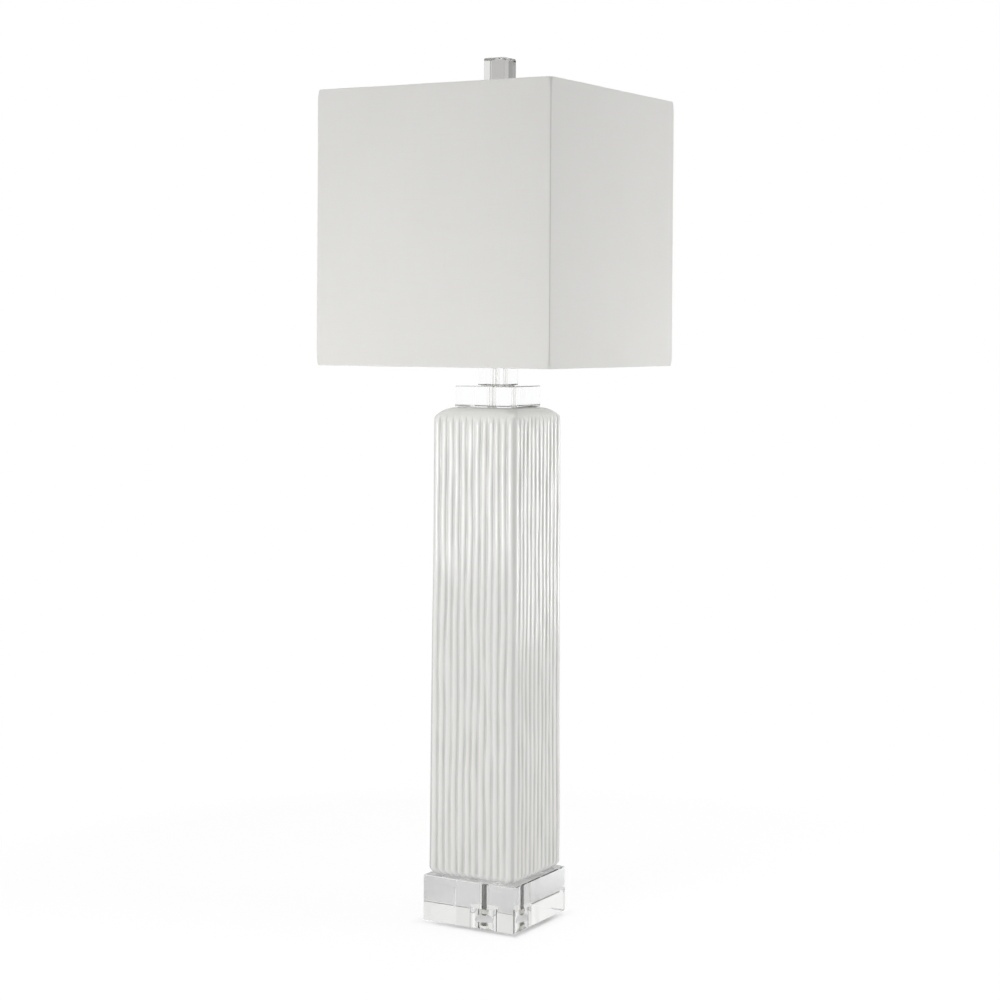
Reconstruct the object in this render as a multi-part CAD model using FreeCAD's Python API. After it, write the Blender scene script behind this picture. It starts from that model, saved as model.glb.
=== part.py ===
import FreeCAD, Part
import math
import os
from FreeCAD import Vector

# Column table lamp: a ribbed white ceramic column between clear square blocks, under a square
# hard-backed linen shade on a harp. Millimetres. The origin is the middle of the lamp's footprint
# at table level, +Z is up, the front faces -Y and the cord leaves at the back (+Y).

# ---------------------------------------------------------------- driving dimensions
# clearances
RUN_GAP = 0.3              # between pieces that move past each other
PIVOT_GAP = 0.1            # radial play of a rivet or shaft in its hole
FIT_GAP = 0.05             # radial play of a piece that turns on another's wall
SEAT_GAP = 0.1             # radial play of a fixed piece in its hole

# foot pads
PAD_DIAMETER = 11.0
PAD_HEIGHT = 1.5
PAD_INSET = 10.0           # pad centre to the block's side

# clear blocks
BASE_WIDTH = 113.0
BASE_HEIGHT = 49.0
BASE_CHAMFER = 0.8
CAP_WIDTH = 68.0
CAP_HEIGHT = 22.5
CAP_CHAMFER = 0.6
NECK_WIDTH = 32.0
NECK_HEIGHT = 36.0
NECK_CHAMFER = 0.6
ROD_HOLE_GAP = 0.6         # radial gap between the rod and the blocks' holes
COUNTERBORE_DIAMETER = 34.0
COUNTERBORE_DEPTH = 14.0

# rod and the hardware that clamps the stack
ROD_DIAMETER = 9.7
ROD_BORE = 6.4
ROD_TAIL = 2.5             # rod standing out below the lower nut
ROD_WINDOW_LENGTH = 18.0   # side slot where the cord enters the rod
ROD_WINDOW_WIDTH = 6.0
WASHER_DIAMETER = 26.0
WASHER_THICKNESS = 1.6
LOCK_WASHER_DIAMETER = 16.5
LOCK_WASHER_THICKNESS = 1.2
LOCK_WASHER_SPLIT = 1.5
NUT_ACROSS_FLATS = 14.3
NUT_HEIGHT = 4.8
CHECK_RING_DIAMETER = 25.4
CHECK_RING_THICKNESS = 1.5

# gaskets and centring rings
GASKET_THICKNESS = 0.8
LOWER_GASKET_WIDTH = 88.0
UPPER_GASKET_WIDTH = 65.0
CAP_GASKET_WIDTH = 29.0
GASKET_CORNER = 4.0
LOWER_RING_HEIGHT = 5.0
UPPER_RING_FLANGE = 27.0
UPPER_RING_DROP = 5.0      # how deep the ring's boss reaches into the column's top

# ceramic column
COLUMN_WIDTH_FOOT = 108.0  # over the ribs, at the bottom
COLUMN_WIDTH_HEAD = 104.3  # over the ribs, at the top
COLUMN_HEIGHT = 504.0
COLUMN_WALL = 5.5          # behind the deepest groove
COLUMN_FLOOR = 7.0
COLUMN_TOP = 7.0
COLUMN_FLOOR_HOLE = 30.0
COLUMN_TOP_HOLE = 20.0
RIBS_PER_SIDE = 12
RIB_SLOPE = 50.0           # degrees at which a rib runs into its groove
CORNER_SLOPE = 68.0        # the same at the column's four vertical corners
RIB_SHARE = 0.72           # rib's part of the rib and groove radii together
SHOULDER_RADIUS = 16.0
HEEL_RADIUS = 8.5
SKIN_MARGIN = 0.2          # plain body outside the rib crowns
CAVITY_RADIUS = 6.0

# cord bushing, at the column's back
BUSHING_LIFT = 24.0        # bushing centre above the column's foot
BUSHING_BORE = 7.2
BUSHING_SLEEVE = 10.6
BUSHING_FLANGE = 16.0
BUSHING_FLANGE_THICKNESS = 1.8
BUSHING_LIP = 2.0          # sleeve standing out inside the wall

# harp saddle, harp and ferrules
SADDLE_THICKNESS = 1.6
SADDLE_WIDTH = 12.0
SADDLE_HALF_SPAN = 28.0    # middle to the line of each harp leg
SADDLE_ARM_HEIGHT = 12.0
SADDLE_BEND = 3.0
HARP_HEIGHT = 254.0        # saddle plate to the top of the harp
HARP_WIRE = 3.2
HARP_FOOT_DIAMETER = 4.8
HARP_LAP = 9.0             # half-round joint between saddle post and harp foot
HARP_COLLAR = 2.0
HARP_STRAIGHT = 27.0       # upright wire above the saddle arm
HARP_BOW_HALF = 57.0
HARP_BOW_RISE = 62.0       # straight end to the widest part
HARP_SHOULDER_HALF = 44.0
HARP_SHOULDER_DROP = 34.0  # harp top down to the bend of its shoulder
HARP_FOOT_BEND = 14.0      # bend radii, from the foot up
HARP_BOW_BEND = 40.0
HARP_SHOULDER_BEND = 24.0
HARP_TOP_BEND = 16.0
HARP_PAD_LENGTH = 22.0
HARP_PAD_WIDTH = 12.0
FERRULE_LENGTH = 11.0
FERRULE_WALL = 0.8

# swivel stud on the harp
STUD_THREAD = 6.2
STUD_LENGTH = 13.0
STUD_SHANK = 5.0
STUD_FLANGE = 15.0
STUD_FLANGE_THICKNESS = 1.35
STUD_HEAD = 9.0
STUD_HEAD_THICKNESS = 1.2
STUD_PLAY = 0.15           # height play of the swivel
STUD_CHAMFER = 0.6

# bulb socket
SOCKET_OUTER = 34.0
SOCKET_SHEET = 0.6
SOCKET_CAP_NECK = 14.0
SOCKET_CAP_FLOOR = 6.0     # cap's neck height, up to its floor
SOCKET_CAP_HEIGHT = 17.0
SOCKET_CAP_ROUND = 4.0     # outer radius of the cap's lower edge
SHELL_LIFT = 4.0           # shell's foot above the cap's floor
LINER_LIFT = 2.5           # liner's foot above the cap's floor
LINER_SHORT = 1.5          # liner's top below the shell's
SOCKET_HEIGHT = 57.0
SOCKET_BEAD = 0.9
LINER_THICKNESS = 0.6
INSULATOR_DIAMETER = 29.6
INSULATOR_HEIGHT = 28.0
INSULATOR_FLAT = 12.2      # middle to the flats with the terminal screws
INSULATOR_BAND = 6.0       # full round stretch above the flats
INSULATOR_CHAMFER = 2.0
SCREW_SHELL_INNER = 26.8
SCREW_SHELL_SHEET = 0.4
SCREW_SHELL_HEIGHT = 21.0
CENTRE_CONTACT_DIAMETER = 7.0
CENTRE_CONTACT_HEIGHT = 1.6
TERMINAL_HEAD = 5.0
TERMINAL_HEAD_HEIGHT = 1.3
TERMINAL_SHANK = 2.8
TERMINAL_DEPTH = 5.0
SET_SCREW_DIAMETER = 2.8
SET_SCREW_HEAD = 4.4
SET_SCREW_HEAD_HEIGHT = 1.6
SWITCH_RISE = 18.0         # switch axis above the cap's floor
SWITCH_SHAFT = 3.0
SWITCH_BORE_STOP = 4.0     # end of the shaft's bore, from the lamp's axis
SWITCH_WINDOW_GAP = 0.9    # radial gap where the shaft passes the shell and the liner
SWITCH_SHAFT_REACH = 32.0  # shaft's end from the lamp's axis
KNOB_DIAMETER = 11.0
KNOB_LENGTH = 12.0
KNOB_CREST = 4.0           # knob's closed end beyond the shaft
KNOB_ROUND = 1.5
KNOB_FLUTES = 12
KNOB_FLUTE = 1.3
ROD_IN_SOCKET = 5.0        # rod standing into the socket cap's neck

# bulb
BULB_CAP_DIAMETER = 26.0
BULB_CAP_SHEET = 0.5
BULB_CAP_HEIGHT = 23.0
BULB_CONTACT_DIAMETER = 9.6
BULB_CONTACT_THICKNESS = 1.0
BULB_INSULATOR_HEIGHT = 2.4
BULB_DIAMETER = 60.0
BULB_LENGTH = 107.0
BULB_GLASS = 0.8
BULB_GLASS_SUNK = 3.0      # glass neck inside the bulb's cap
BULB_NECK_HEIGHT = 6.5     # straight glass neck above the cap
BULB_FLANK_ANGLE = 38.0    # degrees below the ball's middle where the flank meets it
BULB_FLANK_PULL = 13.0     # how far each end of the flank's curve runs straight

# shade
SHADE_WIDTH = 283.0        # over the edge trim
SHADE_HEIGHT = 292.0
SHADE_BOTTOM = 600.5       # height of the shade's lower edge above the table
SHADE_CORNER_RADIUS = 4.0
LINEN_THICKNESS = 0.6
STYRENE_THICKNESS = 0.5
TRIM_THICKNESS = 0.4
TRIM_HEIGHT = 9.0
SHADE_WIRE = 3.0
SPIDER_WIRE = 3.0
SPIDER_RING_DIAMETER = 28.0
SPIDER_RING_HOLE = 11.2
SPIDER_RING_THICKNESS = 1.6
SPIDER_LAP = 2.0           # arm end inside the ring's edge
SPIDER_FOOT = 10.0         # level stretch of each arm from there
SPIDER_BEND = 20.0

# finial
FINIAL_WIDTH = 26.0
FINIAL_HEIGHT = 36.0
FINIAL_CHAMFER = 1.0
FINIAL_BASE_HEIGHT = 16.4
FINIAL_BASE_FOOT = 18.0
FINIAL_BASE_WAIST = 12.6
FINIAL_BASE_HEAD = 20.0
FINIAL_BASE_RIM = 2.2
FINIAL_BASE_STEP = 2.0     # height of the taper from foot to waist
FINIAL_BASE_FLARE = 3.0    # height of the flare from waist to head
FINIAL_PEG_DIAMETER = 6.0
FINIAL_PEG_HEIGHT = 7.0
INSERT_OUTER = 9.4
INSERT_HEIGHT = 12.0
INSERT_LIFT = 0.6          # insert's end above the spider ring

# ---------------------------------------------------------------- levels up the stack
base_z = PAD_HEIGHT
base_top = base_z + BASE_HEIGHT
column_z = base_top + GASKET_THICKNESS
column_top = column_z + COLUMN_HEIGHT
cap_z = column_top + GASKET_THICKNESS
cap_top = cap_z + CAP_HEIGHT
neck_z = cap_top + GASKET_THICKNESS
neck_top = neck_z + NECK_HEIGHT
upper_nut_z = neck_top + CHECK_RING_THICKNESS
saddle_z = upper_nut_z + NUT_HEIGHT
saddle_top = saddle_z + SADDLE_THICKNESS
arm_top = saddle_top + SADDLE_ARM_HEIGHT
harp_top = saddle_top + HARP_HEIGHT
ring_z = harp_top + STUD_PLAY + STUD_FLANGE_THICKNESS
ring_top = ring_z + SPIDER_RING_THICKNESS
finial_z = ring_top + FINIAL_BASE_HEIGHT
shade_top = SHADE_BOTTOM + SHADE_HEIGHT

washer_z = base_z + COUNTERBORE_DEPTH - WASHER_THICKNESS
lock_washer_z = washer_z - LOCK_WASHER_THICKNESS
lower_nut_z = lock_washer_z - NUT_HEIGHT
rod_z = lower_nut_z - ROD_TAIL
rod_top = saddle_top + ROD_IN_SOCKET
bushing_z = column_z + BUSHING_LIFT

cap_floor = saddle_top + SOCKET_CAP_FLOOR + SOCKET_SHEET
insulator_top = cap_floor + INSULATOR_HEIGHT
switch_z = cap_floor + SWITCH_RISE
bulb_z = insulator_top + CENTRE_CONTACT_HEIGHT + FIT_GAP
bulb_cap_z = bulb_z + BULB_CONTACT_THICKNESS + FIT_GAP + BULB_INSULATOR_HEIGHT
bulb_cap_top = bulb_cap_z + BULB_CAP_HEIGHT

rod_hole = ROD_DIAMETER + 2 * ROD_HOLE_GAP
rod_seat = ROD_DIAMETER + 2 * SEAT_GAP
linen_half = SHADE_WIDTH / 2 - TRIM_THICKNESS
styrene_half = linen_half - LINEN_THICKNESS
lining_half = styrene_half - STYRENE_THICKNESS


# ---------------------------------------------------------------- shape helpers
def cylinder(diameter, z, height, x=0.0, y=0.0):
    return Part.makeCylinder(diameter / 2, height, Vector(x, y, z))


def tube(outer, inner, z, height):
    return cylinder(outer, z, height).cut(cylinder(inner, z - 1, height + 2))


def slab(half_x, half_y, z, height):
    corner = Vector(-half_x, -half_y, z)
    return Part.makeBox(2 * half_x, 2 * half_y, height, corner)


def block(width, z, height, chamfer):
    solid = slab(width / 2, width / 2, z, height)
    return solid.makeChamfer(chamfer, solid.Edges)


def hex_nut(z):
    corners = []
    for step in range(7):
        angle = math.radians(60 * step)
        reach = NUT_ACROSS_FLATS / 2 / math.cos(math.radians(30))
        corners.append(Vector(reach * math.cos(angle), reach * math.sin(angle), z))
    prism = Part.Face(Part.makePolygon(corners)).extrude(Vector(0, 0, NUT_HEIGHT))
    return prism.cut(cylinder(rod_seat, z - 1, NUT_HEIGHT + 2))


def path(points, radii, closed=False):
    """A wire through the points, with each bend rounded to its radius (0 leaves it sharp)."""
    count = len(points)
    entries = []
    exits = []
    middles = []
    for index, point in enumerate(points):
        radius = radii[index]
        if radius == 0:
            entries.append(point)
            exits.append(point)
            middles.append(None)
            continue
        back = (points[index - 1] - point).normalize()
        ahead = (points[(index + 1) % count] - point).normalize()
        half_angle = back.getAngle(ahead) / 2
        run = radius / math.tan(half_angle)
        inward = (back + ahead).normalize()
        centre = point + inward * (radius / math.sin(half_angle))
        entries.append(point + back * run)
        exits.append(point + ahead * run)
        middles.append(centre - inward * radius)
    edges = []
    for index in range(count):
        if middles[index] is not None:
            edges.append(Part.Arc(entries[index], middles[index], exits[index]).toShape())
        if index < count - 1 or closed:
            start = exits[index]
            end = entries[(index + 1) % count]
            if (end - start).Length > 1e-6:
                edges.append(Part.LineSegment(start, end).toShape())
    return Part.Wire(edges)


def square_wire(half, radius, z):
    corners = [Vector(half, -half, z), Vector(half, half, z), Vector(-half, half, z)]
    corners.append(Vector(-half, -half, z))
    return path(corners, [radius] * 4, closed=True)


def square_tube(half, radius, thickness, z, height):
    outer = Part.Face(square_wire(half, radius, z)).extrude(Vector(0, 0, height))
    inner_radius = radius - thickness
    inner = Part.Face(square_wire(half - thickness, inner_radius, z - 1))
    return outer.cut(inner.extrude(Vector(0, 0, height + 2)))


def rod_along(wire, diameter):
    """A round rod swept along a wire."""
    edge = wire.OrderedEdges[0]
    start = edge.firstVertex(True).Point
    direction = edge.tangentAt(edge.FirstParameter)
    if edge.Orientation == "Reversed":
        direction = edge.tangentAt(edge.LastParameter) * -1
    section = Part.Wire(Part.Circle(start, direction, diameter / 2).toShape())
    return wire.makePipeShell([section], True, True)


def turned(points, bulges=None):
    """A solid turned about Z from (radius, height) points; bulges maps a segment's index to the
    point its arc passes through."""
    bulges = bulges or {}
    edges = []
    for index, (radius, z) in enumerate(points):
        next_radius, next_z = points[(index + 1) % len(points)]
        start = Vector(radius, 0, z)
        end = Vector(next_radius, 0, next_z)
        if index in bulges:
            middle = Vector(bulges[index][0], 0, bulges[index][1])
            edges.append(Part.Arc(start, middle, end).toShape())
        else:
            edges.append(Part.LineSegment(start, end).toShape())
    face = Part.Face(Part.Wire(edges))
    return face.revolve(Vector(0, 0, 0), Vector(0, 0, 1), 360)


def cross_hole(diameter, z, y_from, y_to):
    """A cylinder along Y, from one Y to the other."""
    start = Vector(0, min(y_from, y_to), z)
    return Part.makeCylinder(diameter / 2, abs(y_to - y_from), start, Vector(0, 1, 0))


# ---------------------------------------------------------------- base and clear blocks
def foot_pads():
    reach = BASE_WIDTH / 2 - PAD_INSET
    pads = []
    for x in (-reach, reach):
        for y in (-reach, reach):
            pads.append(cylinder(PAD_DIAMETER, 0, PAD_HEIGHT, x, y))
    return Part.makeCompound(pads)


def base_block():
    solid = block(BASE_WIDTH, base_z, BASE_HEIGHT, BASE_CHAMFER)
    solid = solid.cut(cylinder(rod_hole, base_z - 1, BASE_HEIGHT + 2))
    return solid.cut(cylinder(COUNTERBORE_DIAMETER, base_z - 1, COUNTERBORE_DEPTH + 1))


def cap_block():
    solid = block(CAP_WIDTH, cap_z, CAP_HEIGHT, CAP_CHAMFER)
    return solid.cut(cylinder(rod_hole, cap_z - 1, CAP_HEIGHT + 2))


def neck_block():
    solid = block(NECK_WIDTH, neck_z, NECK_HEIGHT, NECK_CHAMFER)
    return solid.cut(cylinder(rod_hole, neck_z - 1, NECK_HEIGHT + 2))


# ---------------------------------------------------------------- rod and clamping hardware
def lamp_rod():
    solid = tube(ROD_DIAMETER, ROD_BORE, rod_z, rod_top - rod_z)
    window_z = bushing_z - ROD_WINDOW_LENGTH / 2
    window = Part.makeBox(ROD_WINDOW_WIDTH, ROD_DIAMETER, ROD_WINDOW_LENGTH,
                          Vector(-ROD_WINDOW_WIDTH / 2, 0, window_z))
    return solid.cut(window)


def base_washer():
    return tube(WASHER_DIAMETER, rod_seat, washer_z, WASHER_THICKNESS)


def lock_washer():
    ring = tube(LOCK_WASHER_DIAMETER, rod_seat, lock_washer_z, LOCK_WASHER_THICKNESS)
    corner = Vector(-LOCK_WASHER_SPLIT / 2, 0, lock_washer_z - 1)
    split = Part.makeBox(LOCK_WASHER_SPLIT, LOCK_WASHER_DIAMETER, LOCK_WASHER_THICKNESS + 2, corner)
    return ring.cut(split)


def check_ring():
    return tube(CHECK_RING_DIAMETER, rod_seat, neck_top, CHECK_RING_THICKNESS)


# ---------------------------------------------------------------- gaskets and centring rings
def gasket(width, hole, z):
    sheet = Part.Face(square_wire(width / 2, GASKET_CORNER, z)).extrude(Vector(0, 0, GASKET_THICKNESS))
    return sheet.cut(cylinder(hole, z - 1, GASKET_THICKNESS + 2))


def lower_gasket():
    return gasket(LOWER_GASKET_WIDTH, rod_hole, base_top)


def lower_centring_ring():
    outer = COLUMN_FLOOR_HOLE - 2 * SEAT_GAP
    return tube(outer, rod_seat, column_z, LOWER_RING_HEIGHT)


def upper_centring_ring():
    flange = tube(UPPER_RING_FLANGE, rod_seat, column_top, GASKET_THICKNESS)
    boss_outer = COLUMN_TOP_HOLE - 2 * SEAT_GAP
    return flange.fuse(tube(boss_outer, rod_seat, column_top - UPPER_RING_DROP, UPPER_RING_DROP))


def upper_gasket():
    inner = UPPER_RING_FLANGE + 2 * SEAT_GAP
    return gasket(UPPER_GASKET_WIDTH, inner, column_top)


def cap_gasket():
    return gasket(CAP_GASKET_WIDTH, rod_hole, cap_top)


# ---------------------------------------------------------------- ceramic column
def rib_sizes(half):
    """Radii of a rib and its groove together, of the rib, and the pitch, for a half width."""
    slope = math.radians(RIB_SLOPE)
    corner = math.radians(CORNER_SLOPE)
    spans = (RIBS_PER_SIDE - 1) * math.sin(slope) + RIB_SHARE - math.cos(corner) + math.sin(corner)
    both = half / spans
    return both, RIB_SHARE * both, 2 * both * math.sin(slope)


def rib_depth(half):
    return rib_sizes(half)[0] * (1 - math.cos(math.radians(RIB_SLOPE)))


def ribbed_outline(half, z):
    """The column's outline: round ribs with round grooves between them, on four sides."""
    both, rib, pitch = rib_sizes(half)
    groove = both - rib
    slope = math.radians(RIB_SLOPE)
    corner = math.radians(CORNER_SLOPE)
    edges = []
    for side in range(4):
        along = Vector(1, 0, 0)
        out = Vector(0, -1, 0)
        for _ in range(side):
            along = Vector(-along.y, along.x, 0)
            out = Vector(-out.y, out.x, 0)

        def at(centre, radius, angle):
            tip = along * (centre[0] + radius * math.sin(angle))
            tip = tip + out * (centre[1] + radius * math.cos(angle))
            return tip + Vector(0, 0, z)

        def arc(centre, radius, first, last):
            middle = (first + last) / 2
            points = [at(centre, radius, angle) for angle in (first, middle, last)]
            edges.append(Part.Arc(*points).toShape())

        for number in range(RIBS_PER_SIDE):
            centre = ((number - (RIBS_PER_SIDE - 1) / 2) * pitch, half - rib)
            first = -corner if number == 0 else -slope
            last = corner if number == RIBS_PER_SIDE - 1 else slope
            arc(centre, rib, first, last)
            hollow = (centre[0] + both * math.sin(last), centre[1] + both * math.cos(last))
            if number < RIBS_PER_SIDE - 1:
                arc(hollow, groove, math.pi + slope, math.pi - slope)
            else:
                arc(hollow, groove, math.pi + corner, math.pi * 1.5 - corner)
    return Part.Wire(edges)


def column_profile(quarter_turn):
    """The plain body that rounds off the ribs at the shoulder and the heel, seen from one side
    and run right through."""
    foot = COLUMN_WIDTH_FOOT / 2 + SKIN_MARGIN
    head = COLUMN_WIDTH_HEAD / 2 + SKIN_MARGIN
    depth = 2 * COLUMN_WIDTH_FOOT
    points = [
        Vector(-foot, -depth / 2, column_z),
        Vector(foot, -depth / 2, column_z),
        Vector(head, -depth / 2, column_top),
        Vector(-head, -depth / 2, column_top),
    ]
    radii = [HEEL_RADIUS, HEEL_RADIUS, SHOULDER_RADIUS, SHOULDER_RADIUS]
    solid = Part.Face(path(points, radii, closed=True)).extrude(Vector(0, depth, 0))
    if quarter_turn:
        solid.rotate(Vector(0, 0, 0), Vector(0, 0, 1), 90)
    return solid


def column_body():
    foot = ribbed_outline(COLUMN_WIDTH_FOOT / 2, column_z)
    head = ribbed_outline(COLUMN_WIDTH_HEAD / 2, column_top)
    solid = Part.makeLoft([foot, head], True, True)
    solid = solid.common(column_profile(False)).common(column_profile(True))
    head_half = COLUMN_WIDTH_HEAD / 2
    cavity_half = head_half - rib_depth(head_half) - COLUMN_WALL
    cavity_z = column_z + COLUMN_FLOOR
    cavity_height = COLUMN_HEIGHT - COLUMN_FLOOR - COLUMN_TOP
    cavity = Part.Face(square_wire(cavity_half, CAVITY_RADIUS, cavity_z))
    solid = solid.cut(cavity.extrude(Vector(0, 0, cavity_height)))
    solid = solid.cut(cylinder(COLUMN_FLOOR_HOLE, column_z - 1, COLUMN_FLOOR + 2))
    solid = solid.cut(cylinder(COLUMN_TOP_HOLE, column_top - COLUMN_TOP - 1, COLUMN_TOP + 2))
    return solid.cut(cross_hole(BUSHING_SLEEVE + 2 * SEAT_GAP, bushing_z, 0, COLUMN_WIDTH_FOOT))


def cord_bushing():
    foot_half = COLUMN_WIDTH_FOOT / 2
    head_half = COLUMN_WIDTH_HEAD / 2
    wall_inside = head_half - rib_depth(head_half) - COLUMN_WALL
    outside = foot_half + SEAT_GAP
    inside = wall_inside - BUSHING_LIP
    sleeve = cross_hole(BUSHING_SLEEVE, bushing_z, inside, outside)
    flange = cross_hole(BUSHING_FLANGE, bushing_z, outside, outside + BUSHING_FLANGE_THICKNESS)
    bore = cross_hole(BUSHING_BORE, bushing_z, inside - 1, outside + BUSHING_FLANGE_THICKNESS + 1)
    return sleeve.fuse(flange).cut(bore).removeSplitter()


# ---------------------------------------------------------------- saddle, harp, ferrules, stud
def half_post(side, inner, z, height):
    """Half of the round joint on a harp leg: the inner half is the saddle's, the outer the
    harp's."""
    x = side * SADDLE_HALF_SPAN
    post = cylinder(HARP_FOOT_DIAMETER, z, height, x)
    keep_outward = side if not inner else -side
    offset = FIT_GAP
    low = x + offset if keep_outward > 0 else x - offset - HARP_FOOT_DIAMETER
    corner = Vector(low, -HARP_FOOT_DIAMETER, z - 1)
    return post.common(Part.makeBox(HARP_FOOT_DIAMETER, 2 * HARP_FOOT_DIAMETER, height + 2, corner))


def harp_saddle():
    outer_half = SADDLE_HALF_SPAN + SADDLE_THICKNESS / 2
    height = arm_top - saddle_z
    solid = slab(outer_half, SADDLE_WIDTH / 2, saddle_z, height)
    bends = [edge for edge in solid.Edges
             if edge.BoundBox.ZMax < saddle_z + 1 and edge.BoundBox.XLength < 1]
    solid = solid.makeFillet(SADDLE_BEND, bends)
    hollow = slab(outer_half - SADDLE_THICKNESS, SADDLE_WIDTH, saddle_top, height)
    hollow_bends = [edge for edge in hollow.Edges
                    if edge.BoundBox.ZMax < saddle_top + 1 and edge.BoundBox.XLength < 1]
    hollow = hollow.makeFillet(SADDLE_BEND - SADDLE_THICKNESS, hollow_bends)
    solid = solid.cut(hollow)
    solid = solid.cut(cylinder(rod_seat, saddle_z - 1, SADDLE_THICKNESS + 2))
    for side in (-1, 1):
        tab = cylinder(HARP_FOOT_DIAMETER, arm_top - 2, 2, side * SADDLE_HALF_SPAN)
        solid = solid.fuse([tab, half_post(side, True, arm_top, HARP_LAP)])
    return solid.removeSplitter()


def harp_line(sign):
    """One leg of the harp, from its collar up to the middle of its top."""
    wire_top = harp_top - HARP_WIRE / 2
    straight_top = arm_top + HARP_STRAIGHT
    bow_z = straight_top + HARP_BOW_RISE
    points = [
        Vector(sign * SADDLE_HALF_SPAN, 0, arm_top + HARP_LAP + RUN_GAP),
        Vector(sign * SADDLE_HALF_SPAN, 0, straight_top),
        Vector(sign * HARP_BOW_HALF, 0, bow_z),
        Vector(sign * HARP_SHOULDER_HALF, 0, wire_top - HARP_SHOULDER_DROP),
        Vector(sign * HARP_SHOULDER_HALF / 2, 0, wire_top),
        Vector(0, 0, wire_top),
    ]
    bends = [0, HARP_FOOT_BEND, HARP_BOW_BEND, HARP_SHOULDER_BEND, HARP_TOP_BEND, 0]
    return path(points, bends)


def harp_wire():
    solid = rod_along(harp_line(1), HARP_WIRE).fuse(rod_along(harp_line(-1), HARP_WIRE))
    pad = slab(HARP_PAD_LENGTH / 2, HARP_PAD_WIDTH / 2, harp_top - HARP_WIRE, HARP_WIRE)
    uprights = [edge for edge in pad.Edges if edge.BoundBox.ZLength > 1]
    pieces = [pad.makeFillet(HARP_PAD_WIDTH / 2 - 1, uprights)]
    for side in (-1, 1):
        collar_z = arm_top + HARP_LAP + RUN_GAP
        pieces.append(cylinder(HARP_FOOT_DIAMETER, collar_z, HARP_COLLAR, side * SADDLE_HALF_SPAN))
        pieces.append(half_post(side, False, arm_top + RUN_GAP, HARP_LAP))
    solid = solid.fuse(pieces)
    hole = cylinder(STUD_SHANK + 2 * PIVOT_GAP, harp_top - HARP_WIRE - 1, HARP_WIRE + 2)
    return solid.cut(hole).removeSplitter()


def ferrule(side):
    inner = HARP_FOOT_DIAMETER + 2 * RUN_GAP
    ring = tube(inner + 2 * FERRULE_WALL, inner, arm_top + RUN_GAP, FERRULE_LENGTH)
    ring.translate(Vector(side * SADDLE_HALF_SPAN, 0, 0))
    return ring


def harp_stud():
    head_top = harp_top - HARP_WIRE - STUD_PLAY
    parts = [cylinder(STUD_SHANK, head_top - 0.1, ring_z - head_top)]
    parts.append(cylinder(STUD_FLANGE, harp_top + STUD_PLAY, STUD_FLANGE_THICKNESS))
    parts.append(cylinder(STUD_THREAD, ring_z, STUD_LENGTH))
    solid = cylinder(STUD_HEAD, head_top - STUD_HEAD_THICKNESS, STUD_HEAD_THICKNESS)
    solid = solid.fuse(parts).removeSplitter()
    tip = [edge for edge in solid.Edges if edge.BoundBox.ZMin > ring_z + STUD_LENGTH - 0.01]
    return solid.makeChamfer(STUD_CHAMFER, tip)


# ---------------------------------------------------------------- bulb socket
def switch_window():
    """The hole that the switch shaft passes, on the front side only."""
    return cross_hole(SWITCH_SHAFT + 2 * SWITCH_WINDOW_GAP, switch_z, -SOCKET_OUTER, 0)


def socket_cap():
    outer = SOCKET_OUTER / 2 + SEAT_GAP + SOCKET_SHEET
    under = saddle_top + SOCKET_CAP_FLOOR
    bend = outer - SOCKET_CAP_ROUND
    bend_z = under + SOCKET_CAP_ROUND
    points = [
        (rod_seat / 2, saddle_top),
        (SOCKET_CAP_NECK / 2, saddle_top),
        (SOCKET_CAP_NECK / 2, under),
        (bend, under),
        (outer, bend_z),
        (outer, saddle_top + SOCKET_CAP_HEIGHT),
        (outer - SOCKET_SHEET, saddle_top + SOCKET_CAP_HEIGHT),
        (outer - SOCKET_SHEET, bend_z),
        (bend, cap_floor),
        (rod_seat / 2, cap_floor),
    ]
    run = SOCKET_CAP_ROUND * math.sin(math.pi / 4)
    inner_run = (SOCKET_CAP_ROUND - SOCKET_SHEET) * math.sin(math.pi / 4)
    turns = {3: (bend + run, bend_z - run), 7: (bend + inner_run, bend_z - inner_run)}
    solid = turned(points, turns)
    screw_z = saddle_top + SOCKET_CAP_FLOOR / 2
    return solid.cut(cross_hole(SET_SCREW_DIAMETER, screw_z, 0, SOCKET_OUTER))


def socket_set_screw():
    z = saddle_top + SOCKET_CAP_FLOOR / 2
    screw = cross_hole(SET_SCREW_DIAMETER, z, rod_seat / 2, SOCKET_CAP_NECK / 2)
    head_y = SOCKET_CAP_NECK / 2
    head = cross_hole(SET_SCREW_HEAD, z, head_y, head_y + SET_SCREW_HEAD_HEIGHT)
    return screw.fuse(head)


def socket_shell():
    z = cap_floor + SHELL_LIFT
    top = saddle_top + SOCKET_HEIGHT
    outer = SOCKET_OUTER / 2
    inner = outer - SOCKET_SHEET
    points = [
        (inner, z),
        (outer, z),
        (outer, top - 2 * SOCKET_BEAD),
        (outer, top),
        (inner, top),
    ]
    solid = turned(points, {2: (outer + SOCKET_BEAD, top - SOCKET_BEAD)})
    return solid.cut(switch_window())


def socket_liner():
    outer = SOCKET_OUTER - 2 * SOCKET_SHEET - 2 * SEAT_GAP
    z = cap_floor + LINER_LIFT
    height = saddle_top + SOCKET_HEIGHT - LINER_SHORT - z
    solid = tube(outer, outer - 2 * LINER_THICKNESS, z, height)
    return solid.cut(switch_window())


def terminal_places():
    """Side (-1 or 1) and height of each terminal screw."""
    return [(-1, cap_floor + INSULATOR_HEIGHT / 2), (1, cap_floor + INSULATOR_HEIGHT / 2)]


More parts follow.
